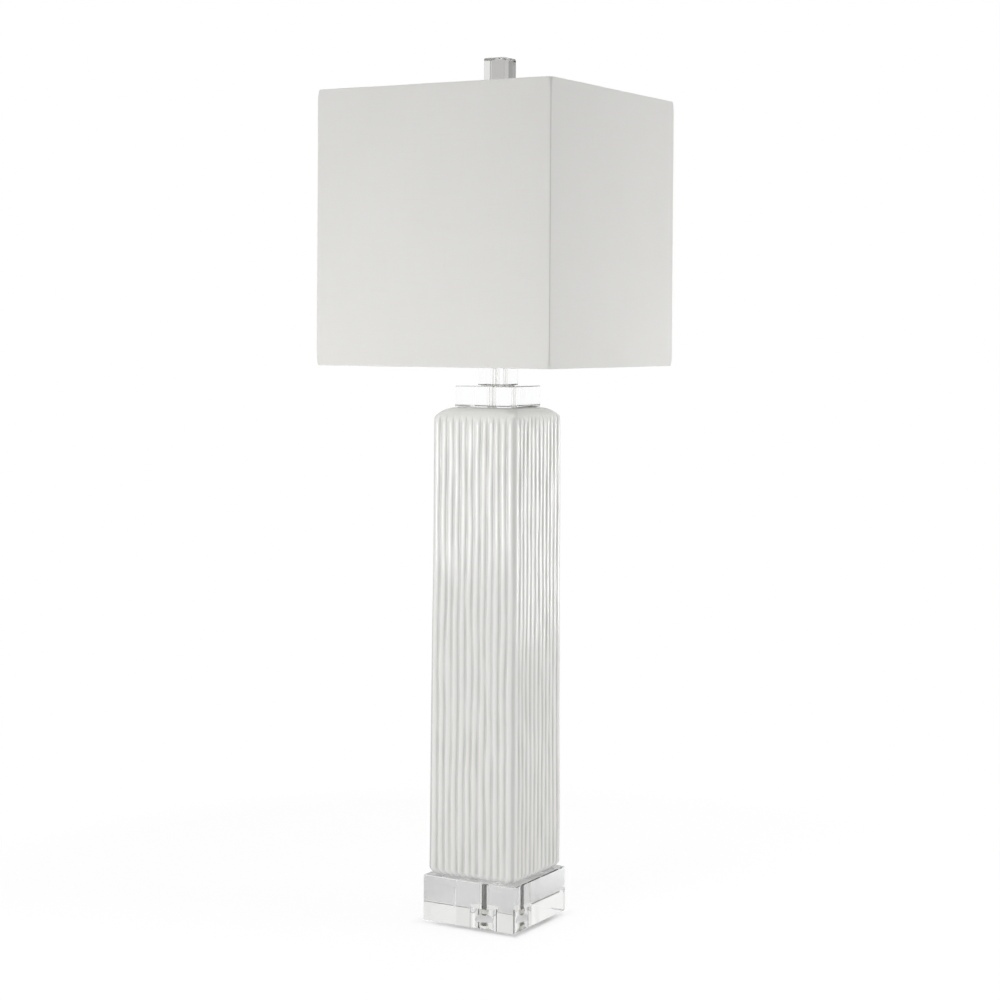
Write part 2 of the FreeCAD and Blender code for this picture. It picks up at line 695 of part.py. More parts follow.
def terminal_screw(side, z, oversize=0.0):
    axis = Vector(side, 0, 0)
    flat = side * INSULATOR_FLAT
    shank_start = Vector(flat - side * TERMINAL_DEPTH, 0, z)
    shank = Part.makeCylinder(TERMINAL_SHANK / 2 + oversize, TERMINAL_DEPTH, shank_start, axis)
    head_start = Vector(flat, 0, z)
    head = Part.makeCylinder(TERMINAL_HEAD / 2, TERMINAL_HEAD_HEIGHT, head_start, axis)
    return shank.fuse(head)


def socket_insulator():
    solid = cylinder(INSULATOR_DIAMETER, cap_floor, INSULATOR_HEIGHT)
    foot = [edge for edge in solid.Edges
            if edge.BoundBox.ZMax < cap_floor + 1 and edge.BoundBox.XLength > 1]
    solid = solid.makeChamfer(INSULATOR_CHAMFER, foot)
    keep = slab(INSULATOR_FLAT, INSULATOR_DIAMETER, cap_floor - 1, INSULATOR_HEIGHT + 2)
    band = cylinder(INSULATOR_DIAMETER, insulator_top - INSULATOR_BAND, INSULATOR_BAND)
    solid = solid.common(keep).fuse(band)
    for side, z in terminal_places():
        solid = solid.cut(terminal_screw(side, z))
    bore_diameter = SWITCH_SHAFT + 2 * PIVOT_GAP
    bore = cross_hole(bore_diameter, switch_z, -INSULATOR_DIAMETER, -SWITCH_BORE_STOP)
    return solid.cut(bore).removeSplitter()


def terminal_screws():
    return Part.makeCompound([terminal_screw(side, z) for side, z in terminal_places()])


def screw_shell():
    outer = SCREW_SHELL_INNER + 2 * SCREW_SHELL_SHEET
    return tube(outer, SCREW_SHELL_INNER, insulator_top, SCREW_SHELL_HEIGHT)


def centre_contact():
    return cylinder(CENTRE_CONTACT_DIAMETER, insulator_top, CENTRE_CONTACT_HEIGHT)


def switch_shaft():
    end = -SWITCH_BORE_STOP - RUN_GAP
    return cross_hole(SWITCH_SHAFT, switch_z, end, -SWITCH_SHAFT_REACH)


def switch_knob():
    tip = -SWITCH_SHAFT_REACH - KNOB_CREST
    solid = cross_hole(KNOB_DIAMETER, switch_z, tip, tip + KNOB_LENGTH)
    rim = [edge for edge in solid.Edges
           if edge.BoundBox.YMax < tip + 1 and edge.BoundBox.XLength > 1]
    solid = solid.makeFillet(KNOB_ROUND, rim)
    for number in range(KNOB_FLUTES):
        angle = 2 * math.pi * number / KNOB_FLUTES
        x = KNOB_DIAMETER / 2 * math.cos(angle)
        z = switch_z + KNOB_DIAMETER / 2 * math.sin(angle)
        start = Vector(x, tip - 1, z)
        flute = Part.makeCylinder(KNOB_FLUTE / 2, KNOB_LENGTH + 2, start, Vector(0, 1, 0))
        solid = solid.cut(flute)
    return solid.cut(cross_hole(SWITCH_SHAFT, switch_z, -SWITCH_SHAFT_REACH, 0))


# ---------------------------------------------------------------- bulb
def bulb_contact():
    return cylinder(BULB_CONTACT_DIAMETER, bulb_z, BULB_CONTACT_THICKNESS)


def bulb_insulator():
    z = bulb_z + BULB_CONTACT_THICKNESS + FIT_GAP
    wide = BULB_CAP_DIAMETER / 2 - BULB_CAP_SHEET
    points = [(0, z), (BULB_CONTACT_DIAMETER / 2, z), (wide, bulb_cap_z), (0, bulb_cap_z)]
    return turned(points)


def bulb_cap():
    return tube(BULB_CAP_DIAMETER, BULB_CAP_DIAMETER - 2 * BULB_CAP_SHEET, bulb_cap_z, BULB_CAP_HEIGHT)


def bulb_outline(inset):
    """Edge of the glass from the foot of its neck to its crown, drawn in by the inset."""
    neck = BULB_CAP_DIAMETER / 2 - BULB_CAP_SHEET - inset
    ball = BULB_DIAMETER / 2 - inset
    centre_z = bulb_z + BULB_LENGTH - BULB_DIAMETER / 2
    foot_z = bulb_cap_top - BULB_GLASS_SUNK
    waist_z = bulb_cap_top + BULB_NECK_HEIGHT
    meet = math.radians(BULB_FLANK_ANGLE)
    meet_point = Vector(ball * math.cos(meet), 0, centre_z - ball * math.sin(meet))
    upper = Part.Arc(meet_point, Vector(ball, 0, centre_z), Vector(0, 0, centre_z + ball))
    flank = Part.BezierCurve()
    pull = BULB_FLANK_PULL
    lean = Vector(math.sin(meet), 0, math.cos(meet))
    flank.setPoles([Vector(neck, 0, waist_z), Vector(neck, 0, waist_z + pull),
                    meet_point - lean * pull, meet_point])
    neck_line = Part.LineSegment(Vector(neck, 0, foot_z), Vector(neck, 0, waist_z))
    return neck_line.toShape(), flank.toShape(), upper.toShape()


def bulb_glass():
    outside = list(bulb_outline(0))
    inside = list(bulb_outline(BULB_GLASS))
    foot = Part.LineSegment(outside[0].Vertexes[0].Point, inside[0].Vertexes[0].Point).toShape()
    crown_out = outside[2].Vertexes[-1].Point
    crown_in = inside[2].Vertexes[-1].Point
    crown = Part.LineSegment(crown_in, crown_out).toShape()
    wire = Part.Wire(Part.__sortEdges__(outside + inside + [foot, crown]))
    return Part.Face(wire).revolve(Vector(0, 0, 0), Vector(0, 0, 1), 360)


# ---------------------------------------------------------------- shade
def shade_linen():
    z = SHADE_BOTTOM + TRIM_THICKNESS
    height = SHADE_HEIGHT - 2 * TRIM_THICKNESS
    return square_tube(linen_half, SHADE_CORNER_RADIUS, LINEN_THICKNESS, z, height)


def shade_styrene():
    z = SHADE_BOTTOM + TRIM_THICKNESS
    height = SHADE_HEIGHT - 2 * TRIM_THICKNESS
    radius = SHADE_CORNER_RADIUS - LINEN_THICKNESS
    return square_tube(styrene_half, radius, STYRENE_THICKNESS, z, height)


def shade_trim(z, ends_at_top):
    """A linen strip folded over one edge of the shade."""
    wall = LINEN_THICKNESS + STYRENE_THICKNESS
    thickness = wall + 2 * TRIM_THICKNESS
    radius = SHADE_CORNER_RADIUS + TRIM_THICKNESS
    band = square_tube(SHADE_WIDTH / 2, radius, thickness, z, TRIM_HEIGHT)
    core_z = z - 1 if ends_at_top else z + TRIM_THICKNESS
    core_height = TRIM_HEIGHT + 1 - (TRIM_THICKNESS if ends_at_top else 0)
    return band.cut(square_tube(linen_half, SHADE_CORNER_RADIUS, wall, core_z, core_height))


def frame_wire_half():
    return lining_half - TRIM_THICKNESS - SHADE_WIRE / 2


def frame_wire_radius():
    # the wire nests in the trim's rounded corner
    return max(SHADE_CORNER_RADIUS, SHADE_WIRE)


def shade_frame_wire(z):
    line = square_wire(frame_wire_half(), frame_wire_radius(), z)
    return rod_along(line, SHADE_WIRE)


def top_wire_z():
    return shade_top - TRIM_THICKNESS - SHADE_WIRE / 2


def bottom_wire_z():
    return SHADE_BOTTOM + TRIM_THICKNESS + SHADE_WIRE / 2


def spider():
    """The ring on the harp's stud, with four arms welded to the top wire's corners."""
    ring = tube(SPIDER_RING_DIAMETER, SPIDER_RING_HOLE, ring_z, SPIDER_RING_THICKNESS)
    half = frame_wire_half()
    radius = frame_wire_radius()
    corner_reach = (half - radius) * math.sqrt(2) + radius
    start = SPIDER_RING_DIAMETER / 2 - SPIDER_LAP
    arm_z = ring_z + SPIDER_WIRE / 2
    arms = []
    for number in range(4):
        angle = math.radians(45 + 90 * number)
        out = Vector(math.cos(angle), math.sin(angle), 0)
        points = [out * start + Vector(0, 0, arm_z)]
        points.append(out * (start + SPIDER_FOOT) + Vector(0, 0, arm_z))
        points.append(out * corner_reach + Vector(0, 0, top_wire_z()))
        arms.append(rod_along(path(points, [0, SPIDER_BEND, 0]), SPIDER_WIRE))
    finial_room = cylinder(FINIAL_BASE_FOOT + 2 * RUN_GAP, ring_top, SPIDER_WIRE * 2)
    return ring.fuse(arms).cut(finial_room).cut(shade_frame_wire(top_wire_z()))


# ---------------------------------------------------------------- finial
def finial_insert():
    inner = STUD_THREAD + 2 * RUN_GAP
    return tube(INSERT_OUTER, inner, ring_top + INSERT_LIFT, INSERT_HEIGHT)


def finial_base():
    foot = FINIAL_BASE_FOOT / 2
    waist = FINIAL_BASE_WAIST / 2
    head = FINIAL_BASE_HEAD / 2
    rim = FINIAL_BASE_RIM
    low = ring_top + rim
    high = finial_z - rim
    flare_z = high - FINIAL_BASE_FLARE
    points = [
        (0, ring_top),
        (foot, ring_top),
        (foot, low),
        (waist, low + FINIAL_BASE_STEP),
        (waist, flare_z),
        (head, high),
        (head, finial_z),
        (0, finial_z),
    ]
    # the flare is hollow: its arc keeps close to the waist before it opens
    flare = (waist + (head - waist) * 0.3, flare_z + FINIAL_BASE_FLARE * 0.7)
    solid = turned(points, {4: flare})
    solid = solid.fuse(cylinder(FINIAL_PEG_DIAMETER, finial_z, FINIAL_PEG_HEIGHT))
    bore_height = INSERT_LIFT + INSERT_HEIGHT + FIT_GAP
    bore = cylinder(INSERT_OUTER + 2 * FIT_GAP, ring_top - 1, bore_height + 1)
    return solid.cut(bore).removeSplitter()


def finial_block():
    solid = block(FINIAL_WIDTH, finial_z, FINIAL_HEIGHT, FINIAL_CHAMFER)
    hole_depth = FINIAL_PEG_HEIGHT + SEAT_GAP
    hole = cylinder(FINIAL_PEG_DIAMETER + 2 * SEAT_GAP, finial_z - 1, hole_depth + 1)
    return solid.cut(hole)


# ---------------------------------------------------------------- the pieces, bottom to top
PIECES = {
    "foot_pads": foot_pads,
    "base_block": base_block,
    "base_washer": base_washer,
    "base_lock_washer": lock_washer,
    "base_nut": lambda: hex_nut(lower_nut_z),
    "lamp_rod": lamp_rod,
    "lower_gasket": lower_gasket,
    "column_body": column_body,
    "lower_centring_ring": lower_centring_ring,
    "cord_bushing": cord_bushing,
    "upper_centring_ring": upper_centring_ring,
    "upper_gasket": upper_gasket,
    "cap_block": cap_block,
    "cap_gasket": cap_gasket,
    "neck_block": neck_block,
    "neck_check_ring": check_ring,
    "upper_nut": lambda: hex_nut(upper_nut_z),
    "harp_saddle": harp_saddle,
    "harp_wire": harp_wire,
    "harp_ferrule_left": lambda: ferrule(-1),
    "harp_ferrule_right": lambda: ferrule(1),
    "harp_stud": harp_stud,
    "socket_cap": socket_cap,
    "socket_set_screw": socket_set_screw,
    "socket_shell": socket_shell,
    "socket_liner": socket_liner,
    "socket_insulator": socket_insulator,
    "socket_terminal_screws": terminal_screws,
    "socket_screw_shell": screw_shell,
    "socket_centre_contact": centre_contact,
    "switch_shaft": switch_shaft,
    "switch_knob": switch_knob,
    "bulb_contact": bulb_contact,
    "bulb_insulator": bulb_insulator,
    "bulb_cap": bulb_cap,
    "bulb_glass": bulb_glass,
    "shade_linen": shade_linen,
    "shade_styrene": shade_styrene,
    "shade_top_trim": lambda: shade_trim(shade_top - TRIM_HEIGHT, True),
    "shade_bottom_trim": lambda: shade_trim(SHADE_BOTTOM, False),
    "shade_top_wire": lambda: shade_frame_wire(top_wire_z()),
    "shade_bottom_wire": lambda: shade_frame_wire(bottom_wire_z()),
    "shade_spider": spider,
    "finial_insert": finial_insert,
    "finial_base": finial_base,
    "finial_block": finial_block,
}

os.makedirs("parts", exist_ok=True)
for name, make in PIECES.items():
    shape = make()
    if shape.Volume < 1 or not shape.isValid():
        print("not valid:", name)
    shape.exportStep("parts/" + name + ".step")
print(len(PIECES), "pieces written")
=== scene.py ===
import math

import bpy
import numpy as np
from mathutils import Matrix, Vector, noise


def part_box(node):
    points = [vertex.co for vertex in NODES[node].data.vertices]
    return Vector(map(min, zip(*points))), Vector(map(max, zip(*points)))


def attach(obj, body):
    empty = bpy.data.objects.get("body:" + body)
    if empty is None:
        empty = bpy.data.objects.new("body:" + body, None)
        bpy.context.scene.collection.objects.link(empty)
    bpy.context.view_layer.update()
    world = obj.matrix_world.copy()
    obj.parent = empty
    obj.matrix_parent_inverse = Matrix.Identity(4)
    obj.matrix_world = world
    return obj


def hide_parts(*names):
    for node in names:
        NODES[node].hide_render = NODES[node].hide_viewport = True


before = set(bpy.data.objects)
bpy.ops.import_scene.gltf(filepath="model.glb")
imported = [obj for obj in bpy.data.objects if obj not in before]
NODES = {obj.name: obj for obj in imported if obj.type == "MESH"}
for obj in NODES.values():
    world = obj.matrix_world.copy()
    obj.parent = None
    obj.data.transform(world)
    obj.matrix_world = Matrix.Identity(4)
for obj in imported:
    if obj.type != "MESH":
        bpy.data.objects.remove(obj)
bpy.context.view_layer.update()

# ---------------------------------------------------------------- sizes, in metres
HEAD_SHARE = 104.3 / 108.0      # column's width at its head, as a share of its foot
RIBS_PER_SIDE = 12
RIB_SLOPE = math.radians(50)    # where a rib's round runs into its groove
CORNER_SLOPE = math.radians(68)
RIB_SHARE = 0.72
SHOULDER_RADIUS = 0.016
HEEL_RADIUS = 0.0085
SHOULDER_MARGIN = 0.0002        # how far the ribs' crests stand inside the smooth band
SHOULDER_BLEND = 0.0009         # width over which ribs run into the band
SHOULDER_CORNER = 0.014         # plan radius of the smooth band's corners, at the top
SHOULDER_START = 0.001          # and where the band begins
HEEL_GROOVES = 0.55             # share of the grooves' depth that the heel takes away
COLUMN_HOLE = 0.0100            # radius of the hole in the column's top
FLOOR_HOLE = 0.0150             # and in its foot
FLOOR_HOLE_DEPTH = 0.007
BUSHING_HOLE = 0.0062           # radius of the opening at the column's back
STRAY_SLOW = 0.0018             # how far the ribs stray sideways
STRAY_QUICK = 0.0011
GROOVE_CHANGE = 0.38            # how much a groove's depth varies
THREAD_PITCH = 0.00094          # rod, 27 turns to the inch
THREAD_DEPTH = 0.00042
ROD_BORE = 0.0032
ROD_END = 0.0007                # chamfer of the rod's ends
ROD_HEAD = 0.0015               # how far below the neck's top the upper thread begins
CAP_THREAD_PITCH = 0.00363      # bulb cap, 7 turns to the inch
CAP_THREAD_DEPTH = 0.0009
CAP_SKIN = 0.00005              # between the thread's crest and the solid's face
CAP_RIM = 0.0015                # plain height below the thread
CAP_TAPER = 0.0035              # and above it
CAP_FADE = 0.002                # height over which the thread begins and ends
CAP_LIP = 0.0006
CAP_LIP_DEPTH = 0.003
CLOTH_THICKNESS = 0.0007
CLOTH_HEM = 0.009               # height of the cloth folded over each edge of the shade
CLOTH_CORNER = 0.0014
CLOTH_HEM_CORNER = 0.0050       # what the folded edges add to it
CLOTH_SAG = 0.0006              # how far a side is drawn in between its corners
CLOTH_UNEVEN = 0.00025
CLOTH_EASE = 0.0045             # height over which the folded edge ends
CLOTH_EDGE_WAVE = 0.00035
CLOTH_EDGE_TURN = 0.0003
CREASE_WIDTH = 0.0012
CREASE_DEPTH = 0.6
LINING_THICKNESS = 0.0005
LINING_GAP = 0.00002
LINING_TRIM = 0.0012            # how far the lining stops short of the cloth's edges
WORLD_LIGHT = 0.36              # strength of the even light from all round
WALL_LEFT = (0.54, 0.53, 0.525)
WALL_RIGHT = (0.84, 0.84, 0.83)
WALL_FRONT = (0.30, 0.30, 0.29)
CEILING = (0.76, 0.755, 0.74)
CEILING_RIGHT = (0.82, 0.82, 0.81)
CEILING_FRONT = (0.95, 0.95, 0.94)
ROOM_TURN = 0.3                 # how gradually one wall passes into the next
HORIZON_GLOW = (0.05, 0.095)    # upward share of a direction where the white glow ends
CEILING_START = (0.14, 0.24)
FLOOR_LIFT = 0.33               # how much paler than its own light the camera sees the floor
FLOOR_LIFT_EDGE = 0.008         # distance from the base over which that sets in
MIRROR_LIFT = (0.30, 0.02)      # the same for mirrors and clear blocks, in front and behind
MIRROR_TURN = (-0.1, 0.05)
NEAR_WHITE = (0.002, 0.015)     # distances from the base over which the floor turns paler,
NEAR_WHITE_SHARE = 0.8          # by this much,
FAR_WHITE = (0.16, 0.7)         # and from the middle over which it turns white
MIRROR_WHITE = (0.8, 2.2)
FLOOR_RINGS = (0.25, 0.6, 1.2, 2.4, 5.0, 9.0)
FLOOR_SIDES = 48
PAINTED_SHADOW_REACH = 0.006           # width of the painted contact shadow where the block meets the floor
# colour of the painted contact shadow on the floor
PAINTED_SHADOW_COLOUR = (0.50, 0.50, 0.50)
PAINTED_SHADOW_FRONT = (0.004, 0.045)  # the painted shadow fades out towards the two side corners
FLOOR_PAINT = (0.80, 0.80, 0.80)
ROD_CLEARANCE = 0.0003          # round the rod, in the washers and cushions
RING_ROUND = 0.0003             # rounded edges of the turned rings
FINIAL_FOOT = 0.0090            # radii of the finial's foot, waist and peg
FINIAL_WAIST = 0.0063
FINIAL_PEG = 0.0030
FINIAL_RIM = 0.0022             # heights of its rims, its taper and its flare
FINIAL_STEP = 0.0020
FINIAL_FLARE = 0.0030
FINIAL_FLARE_POWER = 3.4
FINIAL_FIT = 0.00005
AIR_FILM = 0.00003              # between a clear block and what touches it
PAD_RIM = 0.0006                # rounded edges of the stick-on feet
CUSHION_ROUND = 0.0002
CUSHION_CORNER = 0.004
WARP_PITCH = 0.00062            # linen threads
WEFT_PITCH = 0.00068
CLEAR_SHADOW = (0.87, 0.875, 0.875, 1)
LAMPS = (                       # name, place, aimed at, width and height, watts
    ("front", (-0.3, -1.25, 0.45), (0, 0, 0.5), (0.6, 0.4), 7.3),
    ("side", (1.2, 0.5, 0.35), (0, 0, 0.5), (0.6, 0.4), 6.9),
    ("top", (0.1, 0.3, 3.0), (0, 0, 0), (2.2, 2.2), 31),
)


# ---------------------------------------------------------------- camera
def make_camera():
    """The photograph's view: fitted to the corners of the shade and of the clear base."""
    azimuth = math.radians(30.184)
    pitch = math.radians(0.958)
    roll = math.radians(0.365)
    distance = 2.3702
    eye_height = 0.6421
    back = Vector((math.sin(azimuth), -math.cos(azimuth), 0))
    forward = -back * math.cos(pitch) + Vector((0, 0, -math.sin(pitch)))
    right = Vector((math.cos(azimuth), math.sin(azimuth), 0))
    up = right.cross(forward)
    across = right * math.cos(roll) + up * math.sin(roll)
    upward = up * math.cos(roll) - right * math.sin(roll)
    data = bpy.data.cameras.new("camera")
    data.sensor_width = 36
    data.lens = 78.617
    data.shift_x = 0.0019
    data.shift_y = -0.1363
    data.clip_start = 0.05
    camera = bpy.data.objects.new("camera", data)
    bpy.context.scene.collection.objects.link(camera)
    rows = [[across[i], upward[i], -forward[i], back[i] * distance] for i in range(3)]
    rows[2][3] = eye_height
    camera.matrix_world = Matrix([*rows, [0, 0, 0, 1]])
    bpy.context.scene.camera = camera


# ---------------------------------------------------------------- shader helpers
class Shader:
    """A node tree: a material's, named after the record's slot, or the world's."""

    def __init__(self, name, world=None):
        self.material = bpy.data.materials.get(name) or bpy.data.materials.new(name)
        owner = world or self.material
        owner.use_nodes = True
        self.tree = owner.node_tree
        self.tree.nodes.clear()
        if world:
            bpy.data.materials.remove(self.material)
            self.out = self.node("ShaderNodeOutputWorld")
            return
        self.out = self.node("ShaderNodeOutputMaterial")
        self.surface = self.node("ShaderNodeBsdfPrincipled")
        self.link(self.surface.outputs[0], self.out.inputs["Surface"])
        self.place = self.node("ShaderNodeTexCoord").outputs["Object"]

    def node(self, kind, **settings):
        made = self.tree.nodes.new(kind)
        for key, value in settings.items():
            setattr(made, key, value)
        return made

    def link(self, source, target):
        self.tree.links.new(source, target)

    def feed(self, target, value):
        if isinstance(value, bpy.types.NodeSocket):
            self.link(value, target)
        else:
            target.default_value = value

    def put(self, **values):
        for key, value in values.items():
            self.feed(self.surface.inputs[key.replace("_", " ")], value)

    def stretched(self, scale, source=None):
        mapping = self.node("ShaderNodeMapping")
        self.link(source or self.place, mapping.inputs["Vector"])
        mapping.inputs["Scale"].default_value = scale
        return mapping.outputs[0]

    def noise(self, scale, detail=2.0, stretch=None, source=None, roughness=0.5):
        made = self.node("ShaderNodeTexNoise")
        where = self.stretched(stretch, source) if stretch else (source or self.place)
        self.link(where, made.inputs["Vector"])
        made.inputs["Scale"].default_value = scale
        made.inputs["Detail"].default_value = detail
        made.inputs["Roughness"].default_value = roughness
        return made.outputs["Fac"]

    def wave(self, pitch, direction, source=None, distortion=0.0, detail_scale=1.0):
        made = self.node("ShaderNodeTexWave", wave_type="BANDS", bands_direction=direction)
        self.link(source or self.place, made.inputs["Vector"])
        made.inputs["Scale"].default_value = math.pi / 10 / pitch
        made.inputs["Distortion"].default_value = distortion
        made.inputs["Detail Scale"].default_value = detail_scale
        return made.outputs["Fac"]

    def sum(self, operation, first, second):
        made = self.node("ShaderNodeMath", operation=operation)
        self.feed(made.inputs[0], first)
        self.feed(made.inputs[1], second)
        return made.outputs[0]

    def span(self, value, low, high, out_low=0.0, out_high=1.0):
        made = self.node("ShaderNodeMapRange")
        self.feed(made.inputs["Value"], value)
        made.inputs["From Min"].default_value = low
        made.inputs["From Max"].default_value = high
        made.inputs["To Min"].default_value = out_low
        made.inputs["To Max"].default_value = out_high
        return made.outputs[0]

    def colours(self, factor, first, second):
        made = self.node("ShaderNodeMix", data_type="RGBA")
        self.feed(made.inputs["Factor"], factor)
        self.feed(made.inputs[6], first if hasattr(first, "node") else (*first, 1))
        self.feed(made.inputs[7], second if hasattr(second, "node") else (*second, 1))
        return made.outputs[2]

    def seen_rays(self):
        """1 for what the camera sees, straight, mirrored or through glass, 0 for light
        that falls."""
        ray = self.node("ShaderNodeLightPath")
        seen = self.sum("MAXIMUM", ray.outputs["Is Camera Ray"], ray.outputs["Is Glossy Ray"])
        return self.sum("MAXIMUM", seen, ray.outputs["Is Transmission Ray"])

    def mixed(self, factor, first, second):
        made = self.node("ShaderNodeMixShader")
        self.feed(made.inputs[0], factor)
        self.link(first, made.inputs[1])
        self.link(second, made.inputs[2])
        return made.outputs[0]

    def bump(self, height, strength, distance, under=None):
        made = self.node("ShaderNodeBump")
        made.inputs["Strength"].default_value = strength
        made.inputs["Distance"].default_value = distance
        self.link(height, made.inputs["Height"])
        if under:
            self.link(under, made.inputs["Normal"])
        return made.outputs[0]


# ---------------------------------------------------------------- materials
def ceramic_glaze():
    """White gloss glaze: thinner and paler on the ribs, pooled and a little greyer between them,
    with fine specks and the soft ripple of a poured coat."""
    s = Shader("ceramic_glaze")
    pool = s.node("ShaderNodeAttribute", attribute_name="pool").outputs["Fac"]
    drift = s.noise(14, 3)
    tint = s.colours(drift, (0.80, 0.80, 0.775), (0.84, 0.838, 0.822))
    tint = s.colours(s.span(pool, 0.35, 1.0, 0.0, 1.0), tint, (0.63, 0.635, 0.615))
    specks = s.node("ShaderNodeTexVoronoi")
    s.link(s.place, specks.inputs["Vector"])
    specks.inputs["Scale"].default_value = 260
    dots = s.span(specks.outputs["Distance"], 0.04, 0.09, 0.35, 0.0)
    rare = s.span(s.noise(90, 1), 0.62, 0.7)
    tint = s.colours(s.sum("MULTIPLY", dots, rare), tint, (0.55, 0.5, 0.42))
    ripple = s.bump(s.noise(55, 2, stretch=(1, 1, 0.35)), 0.25, 0.0012)
    orange = s.bump(s.noise(700, 1), 0.05, 0.0003, ripple)
    s.put(Base_Color=tint, Normal=orange)
    s.put(Roughness=s.span(s.noise(30, 3), 0.3, 0.7, 0.10, 0.20))
    s.put(Coat_Weight=0.25, Coat_Roughness=0.06)
    return s.material


def clear(name, ior, colour, smudge):
    """Clear polished block: almost perfectly smooth, with faint wipe marks and hairlines."""
    s = Shader(name)
    wipes = s.span(s.noise(22, 4, stretch=(1, 1, 2.5), roughness=0.65), 0.55, 0.85)
    s.put(Transmission_Weight=1.0, IOR=ior, Base_Color=(*colour, 1))
    s.put(Roughness=s.span(wipes, 0, 1, 0.0, smudge))
    hair = s.noise(900, 1, stretch=(0.05, 1, 1))
    s.put(Normal=s.bump(s.span(hair, 0.68, 0.8), 0.02, 0.0001))
    shadow = s.node("ShaderNodeLightPath").outputs["Is Shadow Ray"]
    through = s.node("ShaderNodeBsdfTransparent")
    through.inputs["Color"].default_value = CLEAR_SHADOW
    s.link(s.mixed(shadow, s.surface.outputs[0], through.outputs[0]), s.out.inputs["Surface"])
    return s.material


def linen():
    """Plain weave of uneven flax threads, with slubs both ways; the folded corners are creased."""
    s = Shader("linen")
    cloth = s.node("ShaderNodeUVMap", uv_map="weave").outputs[0]
    warp = s.wave(WARP_PITCH, "X", cloth, 1.2, 0.4)
    weft = s.wave(WEFT_PITCH, "Y", cloth, 1.2, 0.4)
    weave = s.sum("MULTIPLY", warp, weft)
    slub_up = s.noise(1, 2, stretch=(1400, 26, 1), source=cloth)
    slub_along = s.noise(1, 2, stretch=(22, 1300, 1), source=cloth)
    slubs = s.sum("ADD", s.span(slub_up, 0.58, 0.8), s.span(slub_along, 0.58, 0.8))
    pale = s.colours(s.noise(9, 3, source=cloth), (0.80, 0.795, 0.775), (0.835, 0.83, 0.812))
    woven = s.colours(s.span(weave, 0.0, 0.5, 0.22, 0.0), pale, (0.62, 0.61, 0.58))
    woven = s.colours(s.sum("MULTIPLY", slubs, 0.16), woven, (0.66, 0.645, 0.61))
    crease = s.node("ShaderNodeAttribute", attribute_name="crease").outputs["Fac"]
    woven = s.colours(crease, woven, (0.55, 0.545, 0.525))
    height = s.sum("ADD", weave, slubs)
    s.put(Base_Color=woven, Roughness=0.85, Sheen_Weight=0.15, Sheen_Roughness=0.5)
    s.put(Normal=s.bump(height, 0.45, 0.00022), Specular_IOR_Level=0.25)
    return s.material


def styrene():
    s = Shader("styrene")
    tone = s.colours(s.noise(12, 3), (0.84, 0.84, 0.82), (0.88, 0.88, 0.865))
    s.put(Base_Color=tone, Roughness=s.span(s.noise(60, 2), 0.3, 0.7, 0.38, 0.5))
    s.put(Normal=s.bump(s.noise(40, 2), 0.08, 0.0006))
    return s.material


def metal(name, colour, rough_low, rough_high, brushed=None, tint=None):
    """Plated or bare metal with uneven polish; brushed gives the hairlines' stretch."""
    s = Shader(name)
    base = s.colours(s.noise(35, 3), colour, tint or tuple(0.93 * c for c in colour))
    polish = s.noise(1, 3, stretch=brushed) if brushed else s.noise(120, 3)
    s.put(Base_Color=base, Metallic=1.0)
    s.put(Roughness=s.span(polish, 0.3, 0.7, rough_low, rough_high))
    s.put(Normal=s.bump(polish, 0.06 if brushed else 0.03, 0.0001))
    return s.material


def moulded(name, colour, other, roughness, grain=400, strength=0.06):
    """Plastic, rubber, enamel or board: a mottled tone and a fine skin."""
    s = Shader(name)
    s.put(Base_Color=s.colours(s.noise(45, 3), colour, other))
    s.put(Roughness=s.span(s.noise(80, 2), 0.3, 0.7, roughness - 0.06, roughness + 0.06))
    s.put(Normal=s.bump(s.noise(grain, 2), strength, 0.0002))
    return s.material


def frosted_glass():
    s = Shader("frosted_glass")
    tone = s.colours(s.noise(30, 2), (0.86, 0.86, 0.845), (0.9, 0.9, 0.885))
    s.put(Base_Color=tone, Roughness=s.span(s.noise(50, 2), 0.3, 0.7, 0.16, 0.24))
    s.put(Subsurface_Weight=0.2, Subsurface_Scale=0.004, Subsurface_Radius=(1, 1, 1))
    s.put(Coat_Weight=0.4, Coat_Roughness=0.05)
    s.put(Normal=s.bump(s.noise(25, 1), 0.04, 0.0005))
    return s.material


def rod_metal():
    """The rod: bright nickel above the base, darkened steel thread inside it."""
    s = Shader("rod_metal")
    split = s.node("ShaderNodeSeparateXYZ")
    s.link(s.place, split.inputs[0])
    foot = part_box("column_body")[0].z
    up = s.span(split.outputs["Z"], foot - 0.0005, foot + 0.0005)
    dark = s.colours(s.noise(300, 2), (0.22, 0.215, 0.21), (0.34, 0.33, 0.32))
    s.put(Base_Color=s.colours(up, dark, (0.86, 0.855, 0.84)), Metallic=1.0)
    s.put(Roughness=s.sum("MULTIPLY", s.span(s.noise(150, 2), 0.3, 0.7, 0.8, 1.2), 0.14))
    return s.material


def clear_vinyl():
    """Soft clear sheet, milky with its own plasticiser and fine scuffs."""
    s = Shader("clear_vinyl")
    s.put(Base_Color=s.colours(s.noise(60, 2), (0.90, 0.90, 0.89), (0.85, 0.855, 0.84)))
    s.put(Transmission_Weight=0.12, IOR=1.45)
    s.put(Roughness=s.span(s.noise(200, 2), 0.3, 0.7, 0.18, 0.32))
    s.put(Normal=s.bump(s.noise(300, 2), 0.05, 0.0002))
    return s.material


